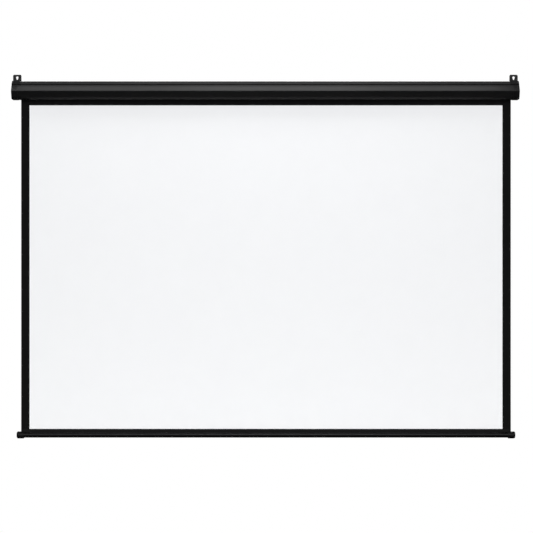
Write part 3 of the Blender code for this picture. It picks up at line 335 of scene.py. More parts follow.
def teardrop(sizes):
    """The ear's hole in X and Z about its wide centre, wide above and narrow below."""
    lean = math.degrees(math.asin((sizes.hole_radius - sizes.narrow_radius) / sizes.hole_drop))
    wide = arc((0, 0), sizes.hole_radius, -lean, 180 + lean, SMALL_STEPS)
    return wide + arc((0, -sizes.hole_drop), sizes.narrow_radius, 180 + lean, 360 - lean,
                      NARROW_STEPS)


def section_corners(sizes, proud=0.0):
    """Named corners of the case's section; proud moves the front and the underside out."""
    low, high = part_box("case_housing")
    under, top, nose_depth = low.z, high.z, low.y
    top_front = Vector((-sizes.top_depth, top))
    shoulder = Vector((-sizes.shoulder_depth, under + sizes.shoulder_height))
    slope = (shoulder - top_front).normalized()
    return {
        "back_bottom": Vector((0, under - proud)),
        "back_top": Vector((0, top)),
        "top_front": top_front,
        "shoulder": shoulder,
        "slope": slope,
        "face_start": shoulder + slope * sizes.groove_width,
        "nose": Vector((nose_depth - proud, under + sizes.nose_height)),
        "lip": Vector((-sizes.lip_depth - proud, under + sizes.lip_height)),
        "sole": Vector((-sizes.sole_depth - proud, under - proud)),
    }


def crowned(start, end, crown):
    """Points between start and end on a face that bulges by crown."""
    normal = outward(end - start)
    points = []
    for step in range(1, CROWN_STEPS):
        share = step / CROWN_STEPS
        points.append(start.lerp(end, share) + normal * 4 * crown * share * (1 - share))
    return points


def groove_floor(corner, depth):
    """The two inner corners of the groove."""
    inward = -outward(corner["slope"]) * depth
    return [corner["shoulder"] + inward, corner["face_start"] + inward]


def cap_outline(case, proud, inset):
    """Outline of an end cap, moved in by inset, with rounded corners."""
    corner = section_corners(case, proud)
    radius = max(case.corner_round - inset, LEAST_ROUND)
    start = [corner[name] for name in ("back_bottom", "back_top", "top_front", "shoulder")]
    face = crowned(corner["shoulder"], corner["nose"], case.crown)
    end = [corner[name] for name in ("nose", "lip", "sole")]
    radii = [radius] * len(start) + [0] * len(face) + [radius] * len(end)
    return rounded(list(zip(offset_path(start + face + end, -inset), radii)))


def port_seats(case):
    """Centre and inward direction of each screw port, tucked into a corner of the case."""
    corner = section_corners(case)
    paths = {
        "top": [corner[name] for name in ("back_bottom", "back_top", "top_front")],
        "bottom": [corner[name] for name in ("sole", "back_bottom", "back_top")],
        "nose": [crowned(corner["face_start"], corner["nose"], case.crown)[-1],
                 corner["nose"], corner["lip"]],
    }
    reach = case.wall + case.port_bore + case.port_wall - case.port_sink
    seats = {}
    for name, path in paths.items():
        centre = offset_path(path, -reach, closed=False)[1]
        seats[name] = (centre, (centre - path[1]).normalized())
    return seats


# Solids.

def placed(name, drawn):
    """Object in the scene with the faces drawn so far."""
    mesh = bpy.data.meshes.new(name)
    drawn.to_mesh(mesh)
    drawn.free()
    made = bpy.data.objects.new(name, mesh)
    bpy.context.scene.collection.objects.link(made)
    return made


def skin(name, rings, hollow=False):
    """Closed mesh through rings of points; hollow joins the last ring to the first."""
    drawn = bmesh.new()
    loops = [[drawn.verts.new(point) for point in ring] for ring in rings]
    pairs = list(zip(loops, loops[1:]))
    if hollow:
        pairs.append((loops[-1], loops[0]))
    else:
        drawn.faces.new(loops[0])
        drawn.faces.new(reversed(loops[-1]))
    for first, second in pairs:
        for index, corner in enumerate(first):
            after = (index + 1) % len(first)
            drawn.faces.new((corner, first[after], second[after], second[index]))
    bmesh.ops.remove_doubles(drawn, verts=drawn.verts, dist=MERGE)
    bmesh.ops.recalc_face_normals(drawn, faces=drawn.faces)
    return placed(name, drawn)


def extruded(name, outline, start, end):
    """Solid with an outline in Y and Z from one X to another."""
    return skin(name, [[(x, point[0], point[1]) for point in outline] for x in (start, end)])


def turned(name, profile, origin, side=RIGHT, steps=ROUND_STEPS, upright=False, hollow=False):
    """Turned solid from (radius, distance along the axis) pairs.

    Its axis runs along X to one side, or along Z if it is upright. A hollow one is a closed ring.
    """
    rings = []
    for radius, along in profile:
        ring = []
        for across, up in circle((0, 0), radius, steps):
            spot = (across, up, along) if upright else (side * along, across, up)
            ring.append(Vector(origin) + Vector(spot))
        rings.append(ring)
    return skin(name, rings, hollow)


def tube(name, radii, ends, origin, side):
    """Tube from its outer and inner radius and its two ends along X."""
    (outer, inner), (start, end) = radii, ends
    ring = [(outer, start), (outer, end), (inner, end), (inner, start)]
    return turned(name, ring, origin, side, hollow=True)


def stepped_plug(name, radii, levels, origin, side):
    """Plug from its wide and narrow radius and its outer end, step and inner end along X."""
    (wide, narrow), (outer, step, inner) = radii, levels
    profile = [(0, outer), (wide, outer), (wide, step), (narrow, step), (narrow, inner), (0, inner)]
    return turned(name, profile, origin, side)


def combine(item, tools):
    """Cut or join tools, given as (object, operation), and keep the result as item's mesh."""
    for tool, operation in tools:
        step = item.modifiers.new(tool.name, "BOOLEAN")
        step.operation = operation
        step.solver = "EXACT"
        step.object = tool
    graph = bpy.context.evaluated_depsgraph_get()
    mesh = bpy.data.meshes.new_from_object(item.evaluated_get(graph))
    item.modifiers.clear()
    item.data = mesh
    for tool, _ in tools:
        bpy.data.objects.remove(tool, do_unlink=True)
    return item


def settle(item, body, slot_name, node, *finishes):
    """Finish a piece, stand it in for its CAD node and let it ride on its body."""
    for maker in finishes:
        item.data.materials.append(finish(maker))
    item.data.shade_smooth()
    item.data.set_sharp_from_angle(angle=SHARP_ANGLE)
    weights = item.modifiers.new("Flat faces", "WEIGHTED_NORMAL")
    weights.keep_sharp = True
    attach(item, body)
    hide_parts(node)
    return item


# Finishes. Each is named for the real material and how its surface was made.

NOISE, CELLS, WAVE = "ShaderNodeTexNoise", "ShaderNodeTexVoronoi", "ShaderNodeTexWave"
WAVE_RADIANS = 20  # what a Wave texture of scale 1 turns through in a metre


class Finish(NamedTuple):
    """Material that is being made, with its own colour and the piece's coordinates."""
    material: bpy.types.Material
    tree: bpy.types.NodeTree
    sockets: bpy.types.bpy_prop_collection
    place: bpy.types.NodeSocket
    colour: tuple


def find_socket(sockets, key):
    """Socket by number, or the first one of that name that is in use."""
    if isinstance(key, int):
        return sockets[key]
    return next(socket for socket in sockets if socket.enabled and socket.name == key)


def add_node(tree, kind, values=(), feeds=(), **settings):
    """Add a node: set its options, set or link its inputs and feed its outputs on."""
    made = tree.nodes.new(kind)
    for key, value in settings.items():
        setattr(made, key, value)
    for key, value in dict(values).items():
        socket = find_socket(made.inputs, key)
        if isinstance(value, bpy.types.NodeSocket):
            tree.links.new(value, socket)
        else:
            socket.default_value = value
    for key, target in dict(feeds).items():
        tree.links.new(find_socket(made.outputs, key), target)
    return made


def new_finish(name, colour, roughness, metallic=0.0, specular=0.5):
    """Start a finish: a Principled material with its uniform values set on its own sockets."""
    material = bpy.data.materials.new(name)
    material.use_nodes = True
    material.diffuse_color = colour
    tree = material.node_tree
    sockets = tree.nodes["Principled BSDF"].inputs
    sockets["Base Color"].default_value = colour
    sockets["Roughness"].default_value = roughness
    sockets["Metallic"].default_value = metallic
    if not metallic:
        sockets["Specular IOR Level"].default_value = specular
    place = add_node(tree, "ShaderNodeTexCoord").outputs["Object"]
    return Finish(material, tree, sockets, place, colour)


def per(millimetres):
    """Texture scale that gives a feature of this size in millimetres."""
    return 1 / (millimetres * MM)


def bands(millimetres):
    """Scale of a Wave texture that sets its bands this many millimetres apart."""
    return math.tau / WAVE_RADIANS * per(millimetres)


def lay(made, kind, scale, output="Fac", settings=None, **values):
    """Lay a texture over a finish and give its output; values are the texture's other inputs."""
    inputs = {"Vector": made.place, "Scale": scale, **values}
    return add_node(made.tree, kind, inputs, **(settings or {})).outputs[output]


def shade_of(colour, factor):
    """The colour, lighter or darker by a factor."""
    return (*[min(1.0, channel * factor) for channel in colour[:3]], 1.0)


def chosen(name):
    """One of the user's colours, with alpha."""
    return (*getattr(bpy.context.scene.screen_colours, name), 1.0)


def vary(made, relief=None, gloss=None, tone=None):
    """Let a finish vary over its surface and give its material.

    relief is a texture with its depth in millimetres and its strength, gloss a texture with the
    least and greatest roughness, and tone a texture with two factors of the finish's colour, or
    two colours.
    """
    if relief:
        height, depth, strength = relief
        add_node(made.tree, "ShaderNodeBump",
                 {"Height": height, "Distance": depth * MM, "Strength": strength},
                 {"Normal": made.sockets["Normal"]})
    if gloss:
        texture, least, greatest = gloss
        add_node(made.tree, "ShaderNodeMapRange",
                 {"Value": texture, "To Min": least, "To Max": greatest},
                 {"Result": made.sockets["Roughness"]})
    if tone:
        texture, *ends = tone
        first, second = [shade_of(made.colour, end) if isinstance(end, float) else end
                         for end in ends]
        add_node(made.tree, "ShaderNodeMix", {"Factor": texture, "A": first, "B": second},
                 {"Result": made.sockets["Base Color"]}, data_type="RGBA")
    return made.material


def powder_coat(name, roughness, specular):
    """Black powder coat on extruded aluminium, with an orange peel of about 2 mm."""
    made = new_finish(name, chosen("coat"), roughness, specular=specular)
    peel = lay(made, NOISE, per(2.2), Detail=2.0)
    cloud = lay(made, NOISE, per(70), Detail=3.0)
    return vary(made, (peel, 0.012, 0.6), (cloud, roughness - 0.03, roughness + 0.04),
                (cloud, 0.85, 1.2))


def coated_case():
    """Powder coat of the case: deep black with a satin sheen that drifts along the length."""
    return powder_coat("coated_case", 0.36, 0.62)


def coated_bar():
    """Powder coat of the weight bar: the same black, but rubbed duller by handling."""
    return powder_coat("coated_bar", 0.34, 0.21)


def painted_groove_shade():
    """A darker, duller copy of the powder coat for the case's groove: painted shade.

    To the eye: a dry, dull black line, painted in where the groove's shadow falls, with a sandy
    grain.
    """
    made = new_finish("painted_groove_shade", shade_of(chosen("coat"), 0.6), 0.8, specular=0.12)
    sand = lay(made, NOISE, per(0.8), Detail=3.0)
    return vary(made, (sand, 0.05, 0.7), tone=(sand, 0.7, 1.4))


def coated_steel():
    """Black powder coat on bent steel strip, baked a little rougher.

    To the eye: matte black with a coarser peel, a touch greyer where the coat is thin.
    """
    made = new_finish("coated_steel", chosen("bracket"), 0.5, specular=0.22)
    peel = lay(made, NOISE, per(1.4), Detail=4.0)
    thin = lay(made, NOISE, per(14), Detail=3.0)
    return vary(made, (peel, 0.02, 0.7), (peel, 0.45, 0.57), (thin, 0.8, 1.5))


def black_moulding(name, roughness, specular):
    """Black plastic with a fine pebble of under 1 mm and slow flow marks."""
    made = new_finish(name, chosen("moulding"), roughness, specular=specular)
    pebble = lay(made, CELLS, per(0.8), "Distance", {"feature": "SMOOTH_F1"})
    flow = lay(made, NOISE, per(25), Detail=2.0)
    return vary(made, (pebble, 0.02, 0.6), (flow, roughness - 0.05, roughness + 0.05),
                (flow, 0.85, 1.25))


def moulded_abs():
    """Black ABS moulded against a spark-eroded tool: an even black, soft at its edges."""
    return black_moulding("moulded_abs", 0.38, 0.52)


def moulded_pvc():
    """Black PVC of the bar's caps: softer, and flatter to the eye than the ABS."""
    return black_moulding("moulded_pvc", 0.5, 0.2)


def weave(made):
    """Height of a plain weave, its threads drawn 1.8 mm apart.

    The real cloth's threads lie about 0.5 mm apart, too fine to show even from near.
    """
    ribs = [lay(made, WAVE, bands(1.8), settings={"bands_direction": direction}, Distortion=0.3)
            for direction in ("X", "Z")]
    return add_node(made.tree, "ShaderNodeMath", dict(enumerate(ribs)),
                    operation="MULTIPLY").outputs[0]


def matte_screen_cloth():
    """White vinyl coat calendered on glass fibre cloth, the projection side.

    To the eye: flat, faintly cool white without gloss. The weave is pressed into the coat, and
    the coat's thickness clouds it by about one part in a hundred.
    """
    made = new_finish("matte_screen_cloth", chosen("cloth"), 0.95, specular=0.12)
    made.sockets["Sheen Weight"].default_value = 0.02
    cloud = lay(made, NOISE, per(80), Detail=4.0)
    return vary(made, (weave(made), 0.03, 0.5), tone=(cloud, 0.975, 1.01))


def mask_ink(name, shade, roughness, specular):
    """Black masking ink on the screen cloth, broken by the weave and a dusty drift."""
    # shade lifts the ink's colour; above 1, as on the hem, it is painted sheen.
    made = new_finish(name, shade_of(chosen("mask"), shade), roughness, specular=specular)
    dust = lay(made, NOISE, per(30), Detail=5.0)
    return vary(made, (weave(made), 0.04, 0.6), tone=(dust, 0.8, 1.5))


def printed_mask():
    """Ink as printed: the flattest black on the object."""
    return mask_ink("printed_mask", 1.0, 0.92, 0.12)


def welded_hem():
    """The same ink where the weld has pressed the cloth smoother, so less rough; its lighter colour
    is painted sheen.
    """
    # The factor 1.15 lightens the ink: painted sheen.
    return mask_ink("welded_hem", 1.15, 0.75, 0.15)


def black_backing():
    """Black vinyl backing, calendered with a leather grain, that keeps light from behind out.

    To the eye: black with a low sheen in a fine grain of 2 to 3 mm.
    """
    made = new_finish("black_backing", linear(0x1D1D1F), 0.55, specular=0.4)
    grain = lay(made, CELLS, per(2.4), "Distance", {"feature": "DISTANCE_TO_EDGE"})
    drift = lay(made, NOISE, per(260), Detail=3.0)
    return vary(made, (grain, 0.06, 0.5), (drift, 0.52, 0.6), (drift, 0.93, 1.1))


def zinc_plate():
    """Bright zinc plate, blue passivated, on pressed or turned steel.

    To the eye: pale cool metal, clouded where the passivation is thicker.
    """
    made = new_finish("zinc_plate", linear(0xBFC4C9), 0.34, metallic=1.0)
    grain = lay(made, NOISE, per(0.5), Detail=2.0)
    cloud = lay(made, NOISE, per(9), Detail=4.0)
    return vary(made, (grain, 0.006, 0.5), (cloud, 0.27, 0.42),
                (cloud, linear(0xB2BAC4), linear(0xC9C8C2)))


def blackened_steel():
    """Black oxide on turned and rolled steel screws.

    To the eye: oily dark metal with turning marks. The real marks are some 0.2 mm apart, and are
    drawn 1.26 mm apart so that they show.
    """
    made = new_finish("blackened_steel", linear(0x24252A), 0.4, metallic=1.0)
    marks = lay(made, WAVE, bands(1.26), settings={"bands_direction": "X"}, Distortion=1.5)
    oil = lay(made, NOISE, per(3), Detail=3.0)
    return vary(made, (marks, 0.004, 0.5), (oil, 0.32, 0.48), (oil, 0.8, 1.3))


def mill_finish_aluminium():
    """Aluminium tube as it leaves the extrusion press.

    To the eye: soft grey metal with fine die lines along its length.
    """
    made = new_finish("mill_finish_aluminium", linear(0xC3C5C8), 0.4, metallic=1.0)
    drawn_out = add_node(made.tree, "ShaderNodeMapping",
                         {"Vector": made.place, "Scale": (0.004, 1.0, 1.0)}).outputs["Vector"]
    lines = lay(made, NOISE, per(0.8), Vector=drawn_out, Detail=4.0)
    return vary(made, (lines, 0.01, 0.6), (lines, 0.33, 0.47), (lines, 0.88, 1.06))


def sintered_bronze():
    """Oil-filled bronze pressed from powder.

    To the eye: dull brown metal peppered with open pores of about 0.3 mm.
    """
    made = new_finish("sintered_bronze", linear(0xB08552), 0.5, metallic=1.0)
    pores = lay(made, CELLS, per(0.3), "Distance")
    return vary(made, (pores, 0.03, 0.6), tone=(pores, 0.5, 1.1))


def plain_moulding(name, value, roughness):
    """Moulded plastic in one colour, with flow marks of about 20 mm and a fine pebble."""
    made = new_finish(name, linear(value), roughness, specular=0.45)
    pebble = lay(made, NOISE, per(0.6), Detail=2.0)
    flow = lay(made, NOISE, per(20), Detail=2.0)
    return vary(made, (pebble, 0.015, 0.5), (flow, roughness - 0.05, roughness + 0.05),
                (flow, 0.94, 1.05))


def moulded_nylon():
    """Grey glass-filled nylon: dull, with the fibres clouding it."""
    return plain_moulding("moulded_nylon", 0x8A8D90, 0.52)


def white_acetal():
    """White acetal of the upper limit adjuster: smooth and a little waxy."""
    return plain_moulding("white_acetal", 0xE9E8E0, 0.34)


def yellow_acetal():
    """Yellow acetal of the lower limit adjuster: smooth and a little waxy."""
    return plain_moulding("yellow_acetal", 0xE0B432, 0.34)


def moulded_rubber():
    """Black EPDM rubber: matte and dry, with a bloom that greys it in patches."""
    made = new_finish("moulded_rubber", linear(0x131313), 0.75, specular=0.3)
    bloom = lay(made, NOISE, per(4), Detail=4.0)
    return vary(made, (bloom, 0.05, 0.4), tone=(bloom, 0.8, 2.0))


def pale_floor():
    """Studio floor in matte pale paint, with roller marks of about 12 mm."""
    made = new_finish("pale_floor", linear(0xE4E4E2), 0.85, specular=0.2)
    marks = lay(made, NOISE, per(12), Detail=3.0)
    return vary(made, (marks, 0.2, 0.3))


def finish(maker):
    """The finish that a maker makes, made once; the material has its maker's name."""
    return bpy.data.materials.get(maker.__name__) or maker()


# Pieces.

PILLAR_MARGIN = 0.2 * MM  # how much wider a pillar's bore is than the screw's hole in the cap
SHADE_START = 0.2 * MM     # how deep in the groove its painted shade starts
SHADE_SLACK = 0.1 * MM     # how far under the groove's floor a face still counts as the floor
SHADE_REACH = 1.2 * MM     # how far past the groove's lower edge the painted shade runs
GROOVE_SHADE = 1               # place of the groove's painted shade among the case's finishes
RECESS_FLOOR = [(0.7, 0.1 * MM), (0.93, 0.3 * MM), (1, 0.8 * MM)]  # share of the depth, inset
DIMPLE_FLOOR = [(0.6, 0.15), (0.9, 0.4), (1, 0.7)]  # share of the depth, share of the radius
EDGE_SEGMENTS, EDGE_ANGLE = 2, math.radians(50)  # of the bevel along the brackets' edges


def case_body(case):
    """Extruded case with its groove, slot and screw ports."""
    low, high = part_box("case_housing")
    corner = section_corners(case)
    middle = middle_of("screen_sheet").y
    slot_back = Vector((middle + case.slot_width / 2, low.z))
    slot_front = Vector((middle - case.slot_width / 2, low.z))
    small, large = SMALL_ROUND, case.corner_round
    groove = [corner["shoulder"], *groove_floor(corner, case.groove_depth), corner["face_start"]]
    outer = [(slot_back, small), (corner["back_bottom"], small)]
    outer += [(corner[name], large) for name in ("back_top", "top_front")]
    outer += [(point, small) for point in groove]
    outer += [(point, 0) for point in crowned(corner["face_start"], corner["nose"], case.crown)]
    outer += [(corner[name], large) for name in ("nose", "lip", "sole")] + [(slot_front, small)]
    path, radii = zip(*outer)
    inner = offset_path(path, -case.wall, closed=False)
    inside = [(point, min(small, radius)) for point, radius in zip(inner, radii)]
    body = extruded("case_extrusion", rounded(outer + inside[::-1]), low.x, high.x)
    ports = []
    for name, (centre, inward) in port_seats(case).items():
        facing = math.degrees(math.atan2(inward.y, inward.x))
        rim = case.port_bore + case.port_wall
        rim_half = half_angle(case.port_slit, rim)
        bore_half = half_angle(case.port_slit, case.port_bore)
        outline = arc(centre, rim, facing + rim_half, facing + 360 - rim_half, PORT_STEPS)
        outline += arc(centre, case.port_bore, facing + 360 - bore_half, facing + bore_half,
                       PORT_STEPS)
        ports.append((extruded("port_" + name, outline, low.x + FIT, high.x - FIT), "UNION"))
    combine(body, ports)
    # Faces down in the groove get the darker, duller finish: painted shade where the groove's shadow
    # falls.
    for face in body.data.polygons:
        place = Vector(face.center[1:]) - corner["shoulder"]
        along, sunk = place.dot(corner["slope"]), -place.dot(outward(corner["slope"]))
        in_reach = 0 <= along <= case.groove_width + SHADE_REACH
        if in_reach and SHADE_START < sunk < case.groove_depth + SHADE_SLACK:
            face.material_index = GROOVE_SHADE
    return body


def face_frame(case, caps):
    """Point on the cap's front face at the recess, the way down the face and the way out of it."""
    corner = section_corners(case, caps.proud)
    line = [corner["shoulder"]] + crowned(corner["shoulder"], corner["nose"], case.crown)
    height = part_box("case_housing")[0].z + caps.recess_height
    for upper, lower in zip(line, line[1:]):
        if upper.y >= height >= lower.y:
            share = (upper.y - height) / (upper.y - lower.y)
            down = (lower - upper).normalized()
            return upper.lerp(lower, share), down, outward(down)
    raise RuntimeError("the recess lies off the cap's front face")


def face_cutter(name, case, caps, middle, half_width, half_length, floor):
    """Stadium cutter square to the front face; floor is (share of the depth, inset) pairs."""
    point, down, out = face_frame(case, caps)
    levels = [(CUT_PAST, 0), (0, 0)]
    levels += [(-share * caps.recess_depth, inset) for share, inset in floor]
    rings = []
    for height, inset in levels:
        ring = []
        for across, along in stadium(half_width - inset, half_length - inset):
            place = point + down * along + out * height
            ring.append(Vector((middle + across, place.x, place.y)))
        rings.append(ring)
    return skin(name, rings)


def cap_body(name, side, case, caps, screws):
    """Moulded cup with rounded rims, and the tools for its groove, bosses and screw pillars."""
    low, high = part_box(name)
    inner, outer = sorted((abs(low.x), abs(high.x)))
    mouth = [(inner + back, inset) for back, inset in quarter_round(caps.mouth_round, MOUTH_STEPS)]
    rim = [(outer - back, inset) for back, inset in quarter_round(caps.rim_round, RIM_STEPS)]
    rings = [[(side * along, *point) for point in cap_outline(case, caps.proud, inset)]
             for along, inset in mouth[::-1] + rim]
    cap = skin(name.replace("cap", "cap_moulding"), rings)

    pocket = cap_outline(case, caps.proud, caps.wall)
    floor, past, beyond = outer - caps.wall, inner - CUT_PAST, outer + CUT_PAST
    tools = [(extruded("pocket", pocket, side * past, side * floor), "DIFFERENCE")]
    corner = section_corners(case, caps.proud)
    above = outward(corner["slope"]) * CUT_PAST
    groove = [corner["shoulder"] + above, corner["face_start"] + above]
    groove += reversed(groove_floor(corner, case.groove_depth))
    tools.append((extruded("groove", groove, side * past, side * beyond), "DIFFERENCE"))

    axis = middle_of("roller_tube")
    radii, ends = (caps.boss_radius, caps.boss_bore), (floor + FUSE, floor - caps.boss_height)
    for spread in (caps.boss_spread, -caps.boss_spread):
        boss = tube("boss", radii, ends, (0, axis.y, axis.z + spread), side)
        tools.append((boss, "UNION"))
    shank, head = screws.shank_radius + FIT, screws.head_radius + FIT
    bore = shank + PILLAR_MARGIN
    seats = [(0, *centre) for centre, _ in port_seats(case).values()]
    radii, ends = (bore + caps.pillar_wall, bore), (floor + FUSE, inner + FIT)
    for centre in seats:
        tools.append((tube("pillar", radii, ends, centre, side), "UNION"))
    levels = (beyond, outer - screws.head_height - FIT, floor - CUT_PAST)
    for centre in seats:
        hole = stepped_plug("screw_hole", (head, shank), levels, centre, side)
        tools.append((hole, "DIFFERENCE"))
    return cap, tools


def motor_cap_tools(case, caps, screws):
    """What only the left cap has: a recess, the grommet's seat and two holes for the adjusters."""
    low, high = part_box("left_end_cap")
    outer = -low.x
    middle = (low.x + caps.rim_round + high.x) / 2
    tools = [face_cutter("recess", case, caps, middle, caps.recess_width / 2,
                         caps.recess_length / 2, RECESS_FLOOR)]
    grommet = middle_of("cable_grommet")
    radii = (screws.flange_radius + FIT, screws.neck_radius + FIT)
    levels = (outer + CUT_PAST, outer - screws.sink, outer - caps.wall - CUT_PAST)
    tools.append(stepped_plug("grommet_seat", radii, levels, (0, grommet.y, grommet.z), LEFT))
    top, bottom = low.z + caps.wall + FUSE, low.z - CUT_PAST
    hole = [(0, top), (caps.access_radius, top), (caps.access_radius, bottom), (0, bottom)]
    for word in ("upper", "lower"):
        key = middle_of(word + "_limit_adjuster")
        tools.append(turned("access", hole, (key.x, key.y, 0), steps=SMALL_STEPS, upright=True))
    return [(tool, "DIFFERENCE") for tool in tools]


def idler_cap_tools(case, caps):
    """What only the right cap has: a dimple."""
    low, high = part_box("right_end_cap")
    middle = (low.x + high.x - caps.rim_round) / 2
    radius = caps.dimple_radius
    floor = [(share, inset * radius) for share, inset in DIMPLE_FLOOR]
    return [(face_cutter("dimple", case, caps, middle, radius, radius, floor), "DIFFERENCE")]


def strip_outline(case, strip):
    """Side outline of the hanging bracket with its bends: ear, foot, slope and hook."""
    corner = section_corners(case)
    ear_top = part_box("left_hanging_bracket")[1].z
    path = [corner["back_top"], corner["top_front"], corner["shoulder"]]
    under = offset_path(path, FIT, closed=False)
    over = offset_path(path, FIT + strip.thickness, closed=False)
    slope = corner["slope"]
    normal = outward(slope)
    hook_inner = corner["shoulder"] + slope * FIT - normal * strip.hook_depth
    hook_outer = hook_inner + slope * strip.hook_thickness
    face_out = hook_outer + normal * (strip.hook_depth + FIT + strip.hook_face)
    outer_bend = strip.bend + strip.thickness
    small = strip.edge_break
    return rounded([
        (under[0], outer_bend),
        (Vector((0, ear_top)), 0),
        (Vector((-strip.thickness, ear_top)), 0),
        (Vector((-strip.thickness, over[0].y)), strip.bend),
        (over[1], outer_bend),
        (over[2], small),
        (face_out, small),
        (hook_outer, small),
        (hook_inner, small),
        (under[2] + slope * FIT, small),
        (under[1], strip.bend),
    ], BEND_STEPS)


def round_ear(item, ear_top, radius):
    """Round the two top corners of the ear."""
    drawn = bmesh.new()
    drawn.from_mesh(item.data)
    corners = []
    for edge in drawn.edges:
        first, second = (vertex.co for vertex in edge.verts)
        if min(first.z, second.z) > ear_top - NEAR and abs(first.x - second.x) < NEAR:
            corners.append(edge)
    bmesh.ops.bevel(drawn, geom=corners, offset=radius, segments=EAR_STEPS, profile=0.5,
                    affect="EDGES")
    drawn.to_mesh(item.data)
    drawn.free()


def bracket_body(word, case, strip):
    """Bent strip with its rounded ear, teardrop hole and broken edges."""
    low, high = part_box(word + "_hanging_bracket")
    item = extruded(word + "_bracket_strip", strip_outline(case, strip), low.x, high.x)
    round_ear(item, high.z, strip.ear_round)
    middle = (low.x + high.x) / 2
    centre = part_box("case_housing")[1].z + strip.hole_rise
    rings = [[(middle + across, depth, centre + up) for across, up in teardrop(strip)]
             for depth in (-CUT_PAST, CUT_PAST)]
    combine(item, [(skin("hole", rings), "DIFFERENCE")])
    edges = item.modifiers.new("Broken edges", "BEVEL")
    edges.width = strip.edge_break
    edges.segments = EDGE_SEGMENTS
    edges.limit_method = "ANGLE"
    edges.angle_limit = EDGE_ANGLE
    return item


HEAD_CROWN = [(0, 0), (0.55, 0), (0.8, 0.1), (0.93, 0.28), (1, 0.55)]  # shares of radius, height
HEAD_EDGE = 0.1 * MM        # chamfer of the head's lower edge
THREAD_ROOT = (0.35, 0.65)  # where the thread's root lies between two crests, in pitches
SCREW_POINT = 2.5           # length of the point, in pitches
SOCKET_SHARE = 0.6          # depth of the socket, as a share of the head


def screw_profile(outer, tip, screws):
    """Profile of a pan head screw with a rolled thread and a blunt point."""
    head, shank, pitch = screws.head_radius, screws.shank_radius, screws.thread_pitch
    under = outer - screws.head_height
    profile = [(share * head, outer - drop * screws.head_height) for share, drop in HEAD_CROWN]
    profile += [(head, under + HEAD_EDGE), (head - HEAD_EDGE, under), (shank, under)]
    along = under - pitch
    while along > tip + SCREW_POINT * pitch:
        root = [(shank - screws.thread_depth, along - share * pitch) for share in THREAD_ROOT]
        profile += [(shank, along), *root]
        along -= pitch
    return profile + [(shank, along), (shank / 2, tip), (0, tip)]


def screw_body(name, side, centre, outer, tip, screws):
    """Cap screw with a hexagonal socket."""
    profile = screw_profile(outer, tip, screws)
    item = turned(name, profile, (0, *centre), side, SMALL_STEPS)
    hexagon = circle(centre, screws.socket_flats / math.sqrt(3), 6)
    floor = outer - SOCKET_SHARE * screws.head_height
    socket = extruded("socket", hexagon, side * floor, side * (outer + CUT_PAST))
    return combine(item, [(socket, "DIFFERENCE")])


# Profile of the grommet, in millimetres where the numbers aren't shares of the neck's radius.
GROMMET_DISH = [(0, 0.6), (0.45, 0.6), (0.6, 0.5), (0.9, 0.05), (1, 0)]  # share, depth
FLANGE_EDGE = [(0.5, 0), (0.15, 0.15), (0, 0.5)]                         # inset, depth
INNER_BARB = [(1, 2.5), (1.6, 1.2)]                                      # inset, height


def grommet_body(screws):
    """Blind rubber grommet: a dished face, a flange outside and a barb inside."""
    low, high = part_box("cable_grommet")
    middle = middle_of("cable_grommet")
    outer, inner = -low.x, -high.x
    neck, flange, face = screws.neck_radius, screws.flange_radius, outer - screws.flange
    barb = [(flange - inset * MM, inner + height * MM) for inset, height in INNER_BARB]
    profile = [(share * neck, outer - depth * MM) for share, depth in GROMMET_DISH]
    profile += [(flange - inset * MM, outer - depth * MM) for inset, depth in FLANGE_EDGE]
    profile += [(flange, face), (neck, face), (neck, barb[0][1]), *barb, (neck, inner), (0, inner)]
    return turned("cord_grommet", profile, (0, middle.y, middle.z), LEFT, GROMMET_STEPS)


WHITE, MASK, BACKING = range(3)  # the sheet's finishes, in the order that it is given them
SHEET_COLUMNS, SHEET_ROWS = 96, 68
LEAST_CELLS = 3  # between two of the lines that the grid has to follow
# Share of the wave's height and of its pitch, phase at the case's middle, and how far the phase
# drifts with each metre of height: as a line, and as a sway of this size and rate.
RIPPLES = [(1, 1, 0, 0, 0.9, 2.1), (0.4, 0.41, 1.3, 1.7, 0, 0)]
WAVE_LIFT = sum(ripple[0] for ripple in RIPPLES)  # keeps the waves on the wall's side


def cloth_lines(low, high, edges, cells):
    """Grid lines from low to high: one on each given edge and this many cells in all."""
    marks = [low, *edges, high]
    lines = [low]
    for start, end in zip(marks, marks[1:]):
        count = max(LEAST_CELLS, round(cells * (end - start) / (high - low)))
        lines += [start + (end - start) * step / count for step in range(1, count + 1)]
    return lines


